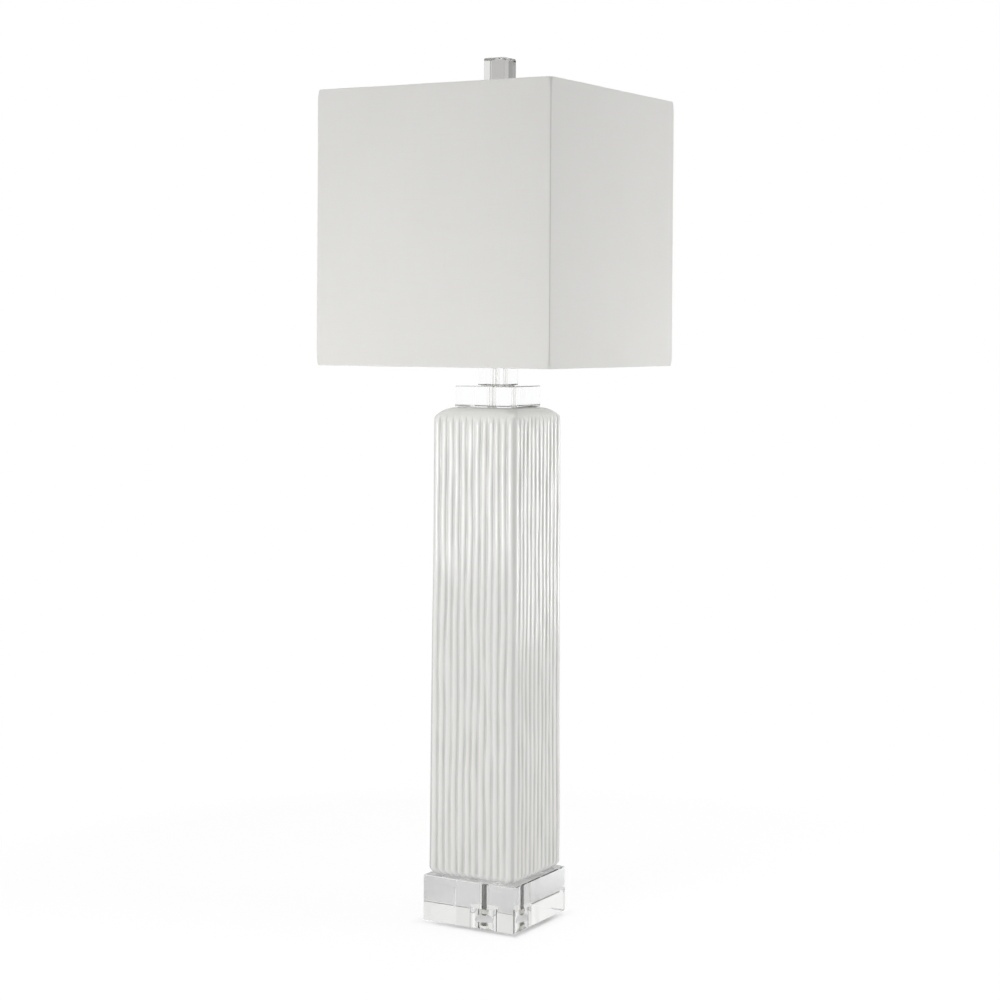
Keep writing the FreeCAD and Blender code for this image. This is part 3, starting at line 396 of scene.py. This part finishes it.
def make_materials():
    made = {
        "ceramic_glaze": ceramic_glaze(),
        "clear_acrylic": clear("clear_acrylic", 1.49, (0.985, 0.99, 0.988), 0.03),
        "crystal": clear("crystal", 1.53, (0.97, 0.975, 0.975), 0.02),
        "linen": linen(),
        "styrene": styrene(),
        "shade_frame": moulded("shade_frame", (0.8, 0.8, 0.79), (0.76, 0.76, 0.74), 0.32),
        "satin_nickel": metal("satin_nickel", (0.66, 0.64, 0.61), 0.26, 0.36, (60, 60, 2500)),
        "polished_nickel": metal("polished_nickel", (0.80, 0.79, 0.77), 0.06, 0.14),
        "zinc_steel": metal("zinc_steel", (0.62, 0.64, 0.67), 0.24, 0.38, None, (0.64, 0.6, 0.5)),
        "brass": metal("brass", (0.80, 0.62, 0.32), 0.2, 0.32),
        "phenolic": moulded("phenolic", (0.03, 0.027, 0.026), (0.045, 0.04, 0.038), 0.42),
        "black_knob": moulded("black_knob", (0.02, 0.02, 0.02), (0.032, 0.03, 0.03), 0.25),
        "paper_liner": moulded("paper_liner", (0.62, 0.52, 0.36), (0.5, 0.41, 0.27), 0.8, 900, 0.3),
        "clear_vinyl": clear_vinyl(),
        "white_rubber": moulded("white_rubber", (0.78, 0.78, 0.76), (0.72, 0.72, 0.7), 0.6),
        "white_nylon": moulded("white_nylon", (0.82, 0.82, 0.8), (0.77, 0.77, 0.74), 0.45),
        "frosted_glass": frosted_glass(),
        "aluminium_cap": metal("aluminium_cap", (0.84, 0.84, 0.85), 0.14, 0.26),
        "black_glass": moulded("black_glass", (0.012, 0.012, 0.014), (0.02, 0.02, 0.022), 0.12),
    }
    for node in NODES.values():
        for place in node.material_slots:
            place.material = made[place.material.name.split(".")[0]]
    return made


# ---------------------------------------------------------------- mesh helpers
def finish_piece(name, verts, faces, body, slot, stands_for=(), smooth=True):
    mesh = bpy.data.meshes.new(name)
    mesh.from_pydata(np.asarray(verts, float).tolist(), [], [list(map(int, f)) for f in faces])
    mesh.validate()
    if smooth:
        mesh.shade_smooth()
    mesh.materials.append(MATERIALS[slot])
    made = bpy.data.objects.new(name, mesh)
    bpy.context.scene.collection.objects.link(made)
    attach(made, body)
    if stands_for:
        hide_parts(*stands_for)
    return made


def skin(rings, closed=False):
    """Points and quads over rings that all have the same number of points, going round."""
    rings = np.asarray(rings, float)
    rows, count, _ = rings.shape
    index = np.arange(rows * count).reshape(rows, count)
    lower = index if closed else index[:-1]
    upper = np.roll(index, -1, 0) if closed else index[1:]
    quads = np.stack([lower, np.roll(lower, -1, 1), np.roll(upper, -1, 1), upper], -1)
    return rings.reshape(-1, 3), quads.reshape(-1, 4)


def turned_rings(profile, segments=96):
    """Rings for (radius, height) pairs turned about Z."""
    angles = np.arange(segments) * 2 * math.pi / segments
    return [
        np.stack([r * np.cos(angles), r * np.sin(angles), np.full(segments, z)], -1)
        for r, z in profile
    ]


def keep_attribute(mesh, name, values):
    mesh.attributes.new(name, "FLOAT", "POINT").data.foreach_set(
        "value", np.asarray(values, np.float32)
    )


# ---------------------------------------------------------------- ceramic column
def unit_side():
    """One side of the ribbed outline for a half width of 1: (along, out, depth below the crests).
    Round ribs run into round grooves, and a deeper groove follows the corner."""
    spans = (RIBS_PER_SIDE - 1) * math.sin(RIB_SLOPE) + RIB_SHARE
    both = 1 / (spans - math.cos(CORNER_SLOPE) + math.sin(CORNER_SLOPE))
    rib = RIB_SHARE * both
    groove = both - rib
    pitch = 2 * both * math.sin(RIB_SLOPE)
    points = []
    for number in range(RIBS_PER_SIDE):
        centre = (number - (RIBS_PER_SIDE - 1) / 2) * pitch
        first = -CORNER_SLOPE if number == 0 else -RIB_SLOPE
        last = CORNER_SLOPE if number == RIBS_PER_SIDE - 1 else RIB_SLOPE
        for angle in np.linspace(first, last, 9, endpoint=False):
            points.append((centre + rib * math.sin(angle), 1 - rib + rib * math.cos(angle)))
        hollow = (centre + both * math.sin(last), 1 - rib + both * math.cos(last))
        start, end = math.pi + last, math.pi - last
        if number == RIBS_PER_SIDE - 1:
            end = math.pi * 1.5 - last
        for angle in np.linspace(start, end, 5, endpoint=False):
            along = hollow[0] + groove * math.sin(angle)
            points.append((along, hollow[1] + groove * math.cos(angle)))
    points = np.array(points)
    return points[:, 0], points[:, 1], both * (1 - math.cos(RIB_SLOPE))


def smooth_min(a, b, width):
    gap = np.maximum(width - np.abs(a - b), 0) / width
    return np.minimum(a, b) - gap * gap * width / 4


def wander(side, along, z):
    """How far a hand-cut rib strays sideways, and how deep its groove is, at a height."""
    slow = noise.noise(Vector((along * 1.6 + 7.3 * side, 3.1, z * 9)))
    quick = noise.noise(Vector((along * 5.5 + 7.3 * side, 8.7, z * 17)))
    depth = noise.noise(Vector((along * 7.0 + 5.1 * side, 1.9, z * 24)))
    return STRAY_SLOW * slow + STRAY_QUICK * quick, 1.0 + GROOVE_CHANGE * depth


def column_rows(low, high):
    """Heights of the rings: close together over the heel and the shoulder."""
    heel = [low + HEEL_RADIUS * (1 - math.cos(a)) for a in np.linspace(0, math.pi / 2, 9)]
    body = list(np.linspace(low + HEEL_RADIUS, high - SHOULDER_RADIUS, 112)[1:-1])
    start = high - SHOULDER_RADIUS
    shoulder = [start + SHOULDER_RADIUS * math.sin(a) for a in np.linspace(0, math.pi / 2, 17)]
    return heel + body + shoulder


def column_ring(z, low, high, foot_half, unit):
    along, out, groove_depth = unit
    share = (z - low) / (high - low)
    half = foot_half * (1 + (HEAD_SHARE - 1) * share)
    edge_fade = 1 - np.abs(along) ** 6
    ring, pools = [], []
    rise = max(0.0, z - (high - SHOULDER_RADIUS))
    inset = SHOULDER_RADIUS - math.sqrt(max(SHOULDER_RADIUS**2 - rise**2, 0))
    limit = foot_half * HEAD_SHARE + SHOULDER_MARGIN - inset
    corner = SHOULDER_START + (SHOULDER_CORNER - SHOULDER_START) * rise / SHOULDER_RADIUS
    drop = max(0.0, low + HEEL_RADIUS - z)
    heel_inset = HEEL_RADIUS - math.sqrt(max(HEEL_RADIUS**2 - drop**2, 0))
    heel_fade = 1 - HEEL_GROOVES * drop / HEEL_RADIUS
    for side in range(4):
        stray = np.array([wander(side, a, z) for a in along])
        x = along * half + stray[:, 0] * edge_fade
        depth = (1 - out) * half
        scale = 1 + (stray[:, 1] - 1) * edge_fade
        depth = np.where(depth < 1.5 * groove_depth * half, depth * scale * heel_fade, depth)
        y = half - depth
        if rise > 0:
            y = smooth_min(y, np.full_like(y, limit), SHOULDER_BLEND)
            x = np.sign(x) * smooth_min(np.abs(x), np.full_like(x, limit), SHOULDER_BLEND)
            over = np.stack([np.abs(x), y], -1) - (limit - corner)
            length = np.hypot(over[:, 0], over[:, 1])
            outside = (over.min(1) > 0) & (length > corner)
            pull = np.where(outside, corner / np.maximum(length, 1e-9), 1)
            x = np.sign(x) * (limit - corner + over[:, 0] * pull)
            y = limit - corner + over[:, 1] * pull
        if drop > 0:
            x = x * (half - heel_inset) / half
            y = y - heel_inset
        angle = side * math.pi / 2
        along_x, along_y = math.cos(angle), math.sin(angle)
        ring.append(np.stack([x * along_x + y * along_y, x * along_y - y * along_x, x * 0 + z], -1))
        fade = (1 - (rise / SHOULDER_RADIUS)) * heel_fade
        pools.append(np.clip(depth / (groove_depth * half), 0, 1.3) * fade)
    return np.concatenate(ring), np.concatenate(pools)


def make_column():
    low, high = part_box("column_body")
    unit = unit_side()
    rings, pools = [], []
    for z in column_rows(low.z, high.z):
        ring, pool = column_ring(z, low.z, high.z, high.x, unit)
        rings.append(ring)
        pools.append(pool)
    top, bottom = rings[-1], rings[0]
    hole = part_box("upper_centring_ring")[0].z

    def disc(outline, radius, z, steps):
        reach = np.hypot(outline[:, 0], outline[:, 1])[:, None]
        circle = outline / reach * radius
        made = []
        for share in steps:
            ring = outline * (1 - share) + circle * share
            ring[:, 2] = z
            made.append(ring)
        return made

    above = disc(top, COLUMN_HOLE, high.z, (0.08, 0.3, 0.65, 1.0))
    above += disc(top, COLUMN_HOLE, hole, (1.0,))
    below = disc(bottom, FLOOR_HOLE, low.z, (1.0, 0.6, 0.25, 0.06))
    below = disc(bottom, FLOOR_HOLE, low.z + FLOOR_HOLE_DEPTH, (1.0,)) + below
    quiet = np.zeros(len(top))
    points, quads = skin(below + rings + above)
    pool = np.concatenate([quiet] * len(below) + pools + [quiet] * len(above))
    bushing_low, bushing_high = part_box("cord_bushing")
    centre_z = (bushing_low.z + bushing_high.z) / 2
    middle = points[quads].mean(1)
    gap = np.hypot(middle[:, 0], middle[:, 2] - centre_z)
    quads = quads[~((gap < BUSHING_HOLE) & (middle[:, 1] > high.x / 2))]
    column = finish_piece("ceramic_column", points, quads, "lamp", "ceramic_glaze", ["column_body"])
    keep_attribute(column.data, "pool", pool)


# ---------------------------------------------------------------- shade cloth
def cloth_outline(half, corner, count_side=40, count_corner=7):
    """Points round a square with rounded corners, with each one's distance round from the start."""
    points = []
    for side in range(4):
        angle = side * math.pi / 2
        along = Vector((math.cos(angle), math.sin(angle)))
        out = Vector((math.sin(angle), -math.cos(angle)))
        for x in np.linspace(-(half - corner), half - corner, count_side, endpoint=False):
            points.append(along * x + out * half)
        hub = along * (half - corner) + out * (half - corner)
        for turn in np.linspace(0, math.pi / 2, count_corner, endpoint=False):
            points.append(hub + (out * math.cos(turn) + along * math.sin(turn)) * corner)
    return np.array([(p.x, p.y) for p in points])


def shade_ring(low, high, z, inset):
    """The shade's outline at a height, set in from the cloth's face: creased at its corners,
    rounder where the cloth turns over the wires, and drawn in a little between them."""
    edge = min(z - low.z, high.z - z)
    ease = math.exp(-edge / CLOTH_EASE)
    half = high.x - inset
    plan = cloth_outline(half, max(CLOTH_CORNER + CLOTH_HEM_CORNER * ease - inset, 0.0005))
    ring = np.concatenate([plan, np.full((len(plan), 1), z)], 1)
    reach = np.abs(plan).max(1)
    side_share = np.abs(plan).min(1) / half
    middle = math.sin(math.pi * (z - low.z) / (high.z - low.z))
    for i, (x, y, _) in enumerate(ring):
        soft = noise.noise(Vector((x * 9, y * 9, z * 9)))
        sag = CLOTH_SAG * (1 - side_share[i] ** 2) * middle
        pull = (sag + CLOTH_UNEVEN * (1 + soft) * min(1, edge / 0.02)) / reach[i]
        ring[i, :2] *= 1 - pull
        ring[i, 2] += CLOTH_EDGE_WAVE * noise.noise(Vector((x * 16, y * 16, 4.4))) * ease
    if edge < CLOTH_EDGE_TURN:
        ring[:, :2] *= 1 - CLOTH_EDGE_TURN / half
    return ring


def shade_wall(low, high, outer_inset, thickness, trim):
    """A thin wall right round the shade, from one edge to the other."""
    first, last = low.z + trim, high.z - trim
    heights = [first, first + 0.0006, first + 0.002, first + 0.0045]
    heights += list(np.linspace(low.z + CLOTH_HEM, high.z - CLOTH_HEM, 34))
    heights += [last - 0.0045, last - 0.002, last - 0.0006, last]
    outer = [shade_ring(low, high, z, outer_inset) for z in heights]
    inner = [shade_ring(low, high, z, outer_inset + thickness) for z in heights]
    points, quads = skin(outer + inner[::-1], closed=True)
    return points, quads, len(heights) * len(outer[0])


def make_shade():
    """Laminated linen stretched over the frame's two square wires, and its white lining."""
    low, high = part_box("shade_bottom_trim")[0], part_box("shade_top_trim")[1]
    points, quads, outer_count = shade_wall(low, high, 0, CLOTH_THICKNESS, 0)
    cloth = finish_piece(
        "shade_cloth", points, quads, "shade", "linen",
        ["shade_linen", "shade_top_trim", "shade_bottom_trim"],
    )
    diagonal = np.abs(np.abs(points[:, 0]) - np.abs(points[:, 1]))
    crease = np.clip(1 - diagonal / CREASE_WIDTH, 0, 1) * CREASE_DEPTH
    crease[outer_count:] = 0
    keep_attribute(cloth.data, "crease", crease)
    weave_map(cloth, points)
    points, quads, _ = shade_wall(
        low, high, CLOTH_THICKNESS + LINING_GAP, LINING_THICKNESS, LINING_TRIM
    )
    finish_piece("shade_lining", points, quads, "shade", "styrene", ["shade_styrene"])


def weave_map(cloth, points):
    """Distance round the shade and height, in metres, so that the threads keep their pitch."""
    uv = cloth.data.uv_layers.new(name="weave")
    values = np.zeros((len(cloth.data.loops), 2), np.float32)
    for polygon in cloth.data.polygons:
        x, y = polygon.center.x, polygon.center.y
        front = abs(y) > abs(x)
        for loop in polygon.loop_indices:
            point = points[cloth.data.loops[loop].vertex_index]
            values[loop] = (point[0] if front else point[1] + 0.37, point[2])
    uv.data.foreach_set("uv", values.ravel())


# ---------------------------------------------------------------- threaded pieces
def thread_radius(radius, depth, pitch, z, angles):
    turn = (z / pitch - angles / (2 * math.pi)) % 1.0
    tooth = np.abs(turn * 2 - 1)
    return radius - depth * np.clip(tooth * 1.15 - 0.08, 0, 1)


def make_rod():
    """The lamp rod: threaded at its two ends, for the nuts and the socket's cap, smooth between."""
    low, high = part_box("lamp_rod")
    radius = high.x
    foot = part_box("column_body")[0].z
    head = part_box("neck_block")[1].z - ROD_HEAD
    step = THREAD_PITCH / 6
    heights = list(np.arange(low.z, foot, step)) + [foot + step, foot + 0.002]
    heights += [head - 0.002, head - step] + list(np.arange(head, high.z, step))
    angles = np.arange(40) * 2 * math.pi / 40
    rings = []

    def ring(r, z):
        return np.stack([r * np.cos(angles), r * np.sin(angles), angles * 0 + z], -1)

    rings.append(ring(ROD_BORE, low.z))
    for z in heights:
        r = thread_radius(radius, THREAD_DEPTH, THREAD_PITCH, z, angles)
        if foot <= z <= head - step / 2:
            r = np.full_like(angles, radius)
        near = min(z - low.z, high.z - z)
        r = np.minimum(r, radius - max(0, ROD_END - near))
        rings.append(ring(r, z))
    rings.append(ring(radius - ROD_END, high.z))
    rings.append(ring(ROD_BORE, high.z))
    points, quads = skin(rings, closed=True)
    rod = finish_piece("threaded_rod", points, quads, "lamp", "zinc_steel", ["lamp_rod"])
    rod.data.materials[0] = rod_metal()


def tube_profile(bore, radius, low, high, soft=RING_ROUND):
    """Outline of a flat ring with rounded edges, as (radius, height) pairs going round."""
    return [
        (radius, low + soft), (radius, high - soft), (radius - soft, high), (bore + soft, high),
        (bore, high - soft), (bore, low + soft), (bore + soft, low), (radius - soft, low),
    ]


def make_rings():
    """The rings that lie against a clear block, each an air film away from it: the washer under
    the base, the check ring on the neck and the flanged ring that centres the rod."""
    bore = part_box("lamp_rod")[1].x + ROD_CLEARANCE
    low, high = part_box("base_washer")
    points, quads = skin(
        turned_rings(tube_profile(bore, high.x, low.z, high.z - AIR_FILM)), closed=True
    )
    finish_piece("base_flat_washer", points, quads, "lamp", "zinc_steel", ["base_washer"])
    low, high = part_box("neck_check_ring")
    points, quads = skin(
        turned_rings(tube_profile(bore, high.x, low.z + AIR_FILM, high.z)), closed=True
    )
    finish_piece("check_washer", points, quads, "lamp", "satin_nickel", ["neck_check_ring"])
    low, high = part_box("upper_centring_ring")
    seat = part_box("column_body")[1].z
    profile = tube_profile(bore, high.x, seat, high.z - AIR_FILM)
    boss = COLUMN_HOLE - ROD_CLEARANCE
    profile[6:] = [(bore, low.z), (boss, low.z), (boss, seat), (high.x - RING_ROUND, seat)]
    points, quads = skin(turned_rings(profile), closed=True)
    finish_piece(
        "flanged_centring_ring", points, quads, "lamp", "white_rubber", ["upper_centring_ring"]
    )


def make_finial_foot():
    """The finial's turned foot with its peg, edges eased, an air film under the crystal."""
    low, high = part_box("finial_base")
    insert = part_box("finial_insert")[1]
    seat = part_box("finial_block")[0].z
    soft = RING_ROUND
    bore, bore_top = insert.x + FINIAL_FIT, insert.z + FINIAL_FIT
    foot_top = low.z + FINIAL_RIM
    waist_low = foot_top + FINIAL_STEP
    waist_high = seat - FINIAL_RIM - FINIAL_FLARE
    profile = [
        (FINIAL_FIT, bore_top), (bore, bore_top), (bore, low.z + soft), (bore + soft, low.z),
        (FINIAL_FOOT - soft, low.z), (FINIAL_FOOT, low.z + soft), (FINIAL_FOOT, foot_top - soft),
        (FINIAL_FOOT - soft, foot_top), (FINIAL_WAIST + soft, waist_low - soft),
        (FINIAL_WAIST, waist_low), (FINIAL_WAIST, waist_low + soft),
        (FINIAL_WAIST, waist_high - soft),
    ]
    for share in np.linspace(0, 1, 9)[:-1]:
        widening = (high.x - FINIAL_WAIST) * share**FINIAL_FLARE_POWER
        profile.append((FINIAL_WAIST + widening, waist_high + FINIAL_FLARE * share))
    top = seat - AIR_FILM
    profile += [
        (high.x - soft, seat - FINIAL_RIM), (high.x, seat - FINIAL_RIM + soft),
        (high.x, top - soft), (high.x - soft, top), (FINIAL_PEG + soft, top), (FINIAL_PEG, top),
        (FINIAL_PEG, high.z - soft), (FINIAL_PEG - soft, high.z), (FINIAL_FIT, high.z),
    ]
    points, quads = skin(turned_rings(profile))
    finish_piece("finial_foot", points, quads, "finial", "polished_nickel", ["finial_base"])


def make_gaskets():
    """Three soft squares of sheet that keep the glazed column and the clear blocks apart."""
    for node, name in (
        ("lower_gasket", "column_cushion"), ("upper_gasket", "cap_cushion"),
        ("cap_gasket", "neck_cushion"),
    ):
        low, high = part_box(node)
        half, soft = high.x, CUSHION_ROUND
        inside = "upper_centring_ring" if node == "upper_gasket" else "lamp_rod"
        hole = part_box(inside)[1].x + ROD_CLEARANCE
        rings = []
        for inset, z in (
            (soft, low.z + AIR_FILM), (0, low.z + soft), (0, high.z - soft),
            (soft, high.z - AIR_FILM),
        ):
            plan = cloth_outline(half - inset, CUSHION_CORNER, 24)
            rings.append(np.concatenate([plan, np.full((len(plan), 1), z)], 1))
        reach = np.hypot(rings[0][:, 0], rings[0][:, 1])[:, None]
        circle = rings[0][:, :2] / reach * hole
        for z in (high.z - AIR_FILM, low.z + AIR_FILM):
            rings.append(np.concatenate([circle, np.full((len(circle), 1), z)], 1))
        points, quads = skin(rings, closed=True)
        finish_piece(name, points, quads, "lamp", "clear_vinyl", [node], smooth=False)


def make_feet():
    """Four stick-on feet: low clear discs with soft edges."""
    low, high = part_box("foot_pads")
    node = NODES["foot_pads"].data
    spots = np.array([vertex.co[:] for vertex in node.vertices])
    points, quads = [], []
    for across in (-1, 1):
        for deep in (-1, 1):
            own = spots[(spots[:, 0] * across > 0) & (spots[:, 1] * deep > 0)]
            centre = (own.max(0) + own.min(0)) / 2
            radius = (own[:, 0].max() - own[:, 0].min()) / 2
            top = high.z - AIR_FILM
            profile = [(0.0002, low.z), (radius - PAD_RIM * 0.6, low.z)]
            for angle in np.linspace(-1.2, 1.5, 7):
                rise = (top + low.z) / 2 + PAD_RIM * 1.1 * math.sin(angle)
                profile.append((radius - PAD_RIM * (1 - math.cos(angle)), rise))
            profile += [(radius * 0.6, top), (0.0002, top)]
            own_points, own_quads = skin(turned_rings(profile, 48))
            own_points[:, :2] += centre[:2]
            quads.append(own_quads + len(points) * len(own_points))
            points.append(own_points)
    finish_piece(
        "foot_bumpers", np.concatenate(points), np.concatenate(quads), "lamp", "clear_vinyl",
        ["foot_pads"],
    )


def make_bulb_cap():
    """The bulb's screw cap: rolled round thread between a plain rim and the tapered end."""
    low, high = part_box("bulb_cap")
    radius = high.x
    angles = np.arange(80) * 2 * math.pi / 80
    rings = []
    for z in np.linspace(low.z, high.z, 78):
        up = z - low.z
        fade = np.clip(min(up - CAP_RIM, high.z - CAP_TAPER - z) / CAP_FADE, 0, 1)
        turn = (z / CAP_THREAD_PITCH - angles / (2 * math.pi)) * 2 * math.pi
        r = radius - CAP_SKIN - CAP_THREAD_DEPTH * (0.5 - 0.5 * np.cos(turn)) * fade
        r = r - max(0, CAP_THREAD_DEPTH - up) * 0.9
        rings.append(np.stack([r * np.cos(angles), r * np.sin(angles), angles * 0 + z], -1))
    lip = rings[-1].copy()
    lip[:, :2] *= 1 - CAP_LIP / radius
    inner = lip.copy()
    inner[:, 2] -= CAP_LIP_DEPTH
    rings += [lip, inner]
    points, quads = skin(rings)
    finish_piece("bulb_screw_cap", points, quads, "bulb", "aluminium_cap", ["bulb_cap"])


# ---------------------------------------------------------------- stage and light
def make_floor():
    """Plain white floor. It takes the lamp's shadow."""
    mesh = bpy.data.meshes.new("floor")
    points = [(0, 0, 0)]
    turns = [i * 2 * math.pi / FLOOR_SIDES for i in range(FLOOR_SIDES)]
    for radius in FLOOR_RINGS:
        points += [(radius * math.cos(turn), radius * math.sin(turn), 0) for turn in turns]
    after = [(i + 1) % FLOOR_SIDES for i in range(FLOOR_SIDES)]
    faces = [(0, 1 + i, 1 + after[i]) for i in range(FLOOR_SIDES)]
    for ring in range(len(FLOOR_RINGS) - 1):
        a = 1 + ring * FLOOR_SIDES
        b = a + FLOOR_SIDES
        faces += [(a + i, b + i, b + after[i], a + after[i]) for i in range(FLOOR_SIDES)]
    mesh.from_pydata(points, [], faces)
    floor = bpy.data.objects.new("floor", mesh)
    bpy.context.scene.collection.objects.link(floor)
    mesh.materials.append(floor_white())


def floor_white():
    """Matt white with a painted contact shadow along the base's front sides. The camera sees it
    paler than it is lit, and away from the lamp as white as the background."""
    s = Shader("floor_white")
    direct = s.node("ShaderNodeLightPath").outputs["Is Camera Ray"]
    distance = s.node("ShaderNodeVectorMath", operation="LENGTH")
    s.link(s.place, distance.inputs[0])
    away = distance.outputs["Value"]
    spot = s.node("ShaderNodeSeparateXYZ")
    s.link(s.place, spot.inputs[0])
    reach = [s.sum("ABSOLUTE", spot.outputs[axis], 0) for axis in ("X", "Y")]
    beside = s.sum("SUBTRACT", s.sum("MAXIMUM", *reach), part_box("base_block")[1].x)
    front = s.sum("SUBTRACT", spot.outputs["X"], spot.outputs["Y"])
    front = s.span(front, *PAINTED_SHADOW_FRONT)
    # painted shadow: the floor's colour darkened next to the base's two front sides, for the camera
    # only
    painted_shadow = s.sum("MULTIPLY", direct, s.span(beside, 0.0, PAINTED_SHADOW_REACH, 1.0, 0.0))
    painted_shadow = s.sum("MULTIPLY", painted_shadow, front)
    s.put(Base_Color=s.colours(painted_shadow, FLOOR_PAINT, PAINTED_SHADOW_COLOUR))
    s.put(Roughness=0.9, Specular_IOR_Level=0.0)
    near = s.span(beside, *NEAR_WHITE, 0.0, NEAR_WHITE_SHARE)
    far = s.sum("MULTIPLY", s.sum("MAXIMUM", s.span(away, *FAR_WHITE), near), direct)
    mirrored = s.sum("MULTIPLY", s.span(away, *MIRROR_WHITE), s.seen_rays())
    far = s.sum("MAXIMUM", far, mirrored)
    lift = s.node("ShaderNodeEmission")
    mirrored = s.span(spot.outputs["Y"], *MIRROR_TURN, *MIRROR_LIFT)
    mirrored = s.sum("MULTIPLY", s.seen_rays(), mirrored)
    bare = s.sum("MULTIPLY", s.span(beside, 0.0, FLOOR_LIFT_EDGE, 1.0, 0.0), front)
    seen_lift = s.sum("MULTIPLY", direct, s.span(bare, 0.0, 1.0, FLOOR_LIFT, 0.0))
    s.feed(lift.inputs["Strength"], s.sum("MAXIMUM", mirrored, seen_lift))
    near_floor = s.node("ShaderNodeAddShader")
    s.link(s.surface.outputs[0], near_floor.inputs[0])
    s.link(lift.outputs[0], near_floor.inputs[1])
    white = s.node("ShaderNodeEmission")
    s.link(s.mixed(far, near_floor.outputs[0], white.outputs[0]), s.out.inputs["Surface"])
    return s.material


def make_world():
    """A white room. Past the white glow along its horizon, mirrors and clear blocks see grey
    walls, darker at the front, under a paler ceiling; the camera sees plain white."""
    world = bpy.data.worlds.new("studio")
    bpy.context.scene.world = world
    s = Shader("studio", world)

    def background(colour, strength=1.0):
        made = s.node("ShaderNodeBackground")
        s.feed(made.inputs["Color"], colour)
        made.inputs["Strength"].default_value = strength
        return made.outputs[0]

    way = s.node("ShaderNodeSeparateXYZ")
    s.link(s.node("ShaderNodeTexCoord").outputs["Generated"], way.inputs[0])
    across = s.span(way.outputs["X"], -ROOM_TURN, ROOM_TURN)
    deep = s.span(way.outputs["Y"], -ROOM_TURN, ROOM_TURN)
    wall = s.colours(deep, WALL_FRONT, s.colours(across, WALL_LEFT, WALL_RIGHT))
    ceiling = s.colours(deep, CEILING_FRONT, s.colours(across, CEILING, CEILING_RIGHT))
    wall = s.colours(s.span(way.outputs["Z"], *CEILING_START), wall, ceiling)
    reflected = s.colours(s.span(way.outputs["Z"], *HORIZON_GLOW), (1, 1, 1), wall)
    ray = s.node("ShaderNodeLightPath")
    seen = s.mixed(ray.outputs["Is Camera Ray"], background(reflected), background((1, 1, 1, 1)))
    lit = background((1.0, 1.0, 0.995, 1), WORLD_LIGHT)
    s.link(s.mixed(s.seen_rays(), lit, seen), s.out.inputs["Surface"])


def soft_lamp(name, place, aim, size, watts):
    """A soft box, which the clear blocks don't show."""
    data = bpy.data.lights.new(name, "AREA")
    data.shape = "RECTANGLE"
    data.size, data.size_y = size
    data.energy = watts
    lamp = bpy.data.objects.new(name, data)
    bpy.context.scene.collection.objects.link(lamp)
    lamp.location = place
    lamp.visible_transmission = False
    lamp.rotation_euler = (Vector(aim) - Vector(place)).to_track_quat("-Z", "Y").to_euler()


bpy.context.scene.view_settings.view_transform = "Standard"
make_camera()
MATERIALS = make_materials()
make_column()
make_shade()
make_rod()
make_rings()
make_finial_foot()
make_gaskets()
make_feet()
make_bulb_cap()
make_floor()
make_world()
for lamp in LAMPS:
    soft_lamp(*lamp)
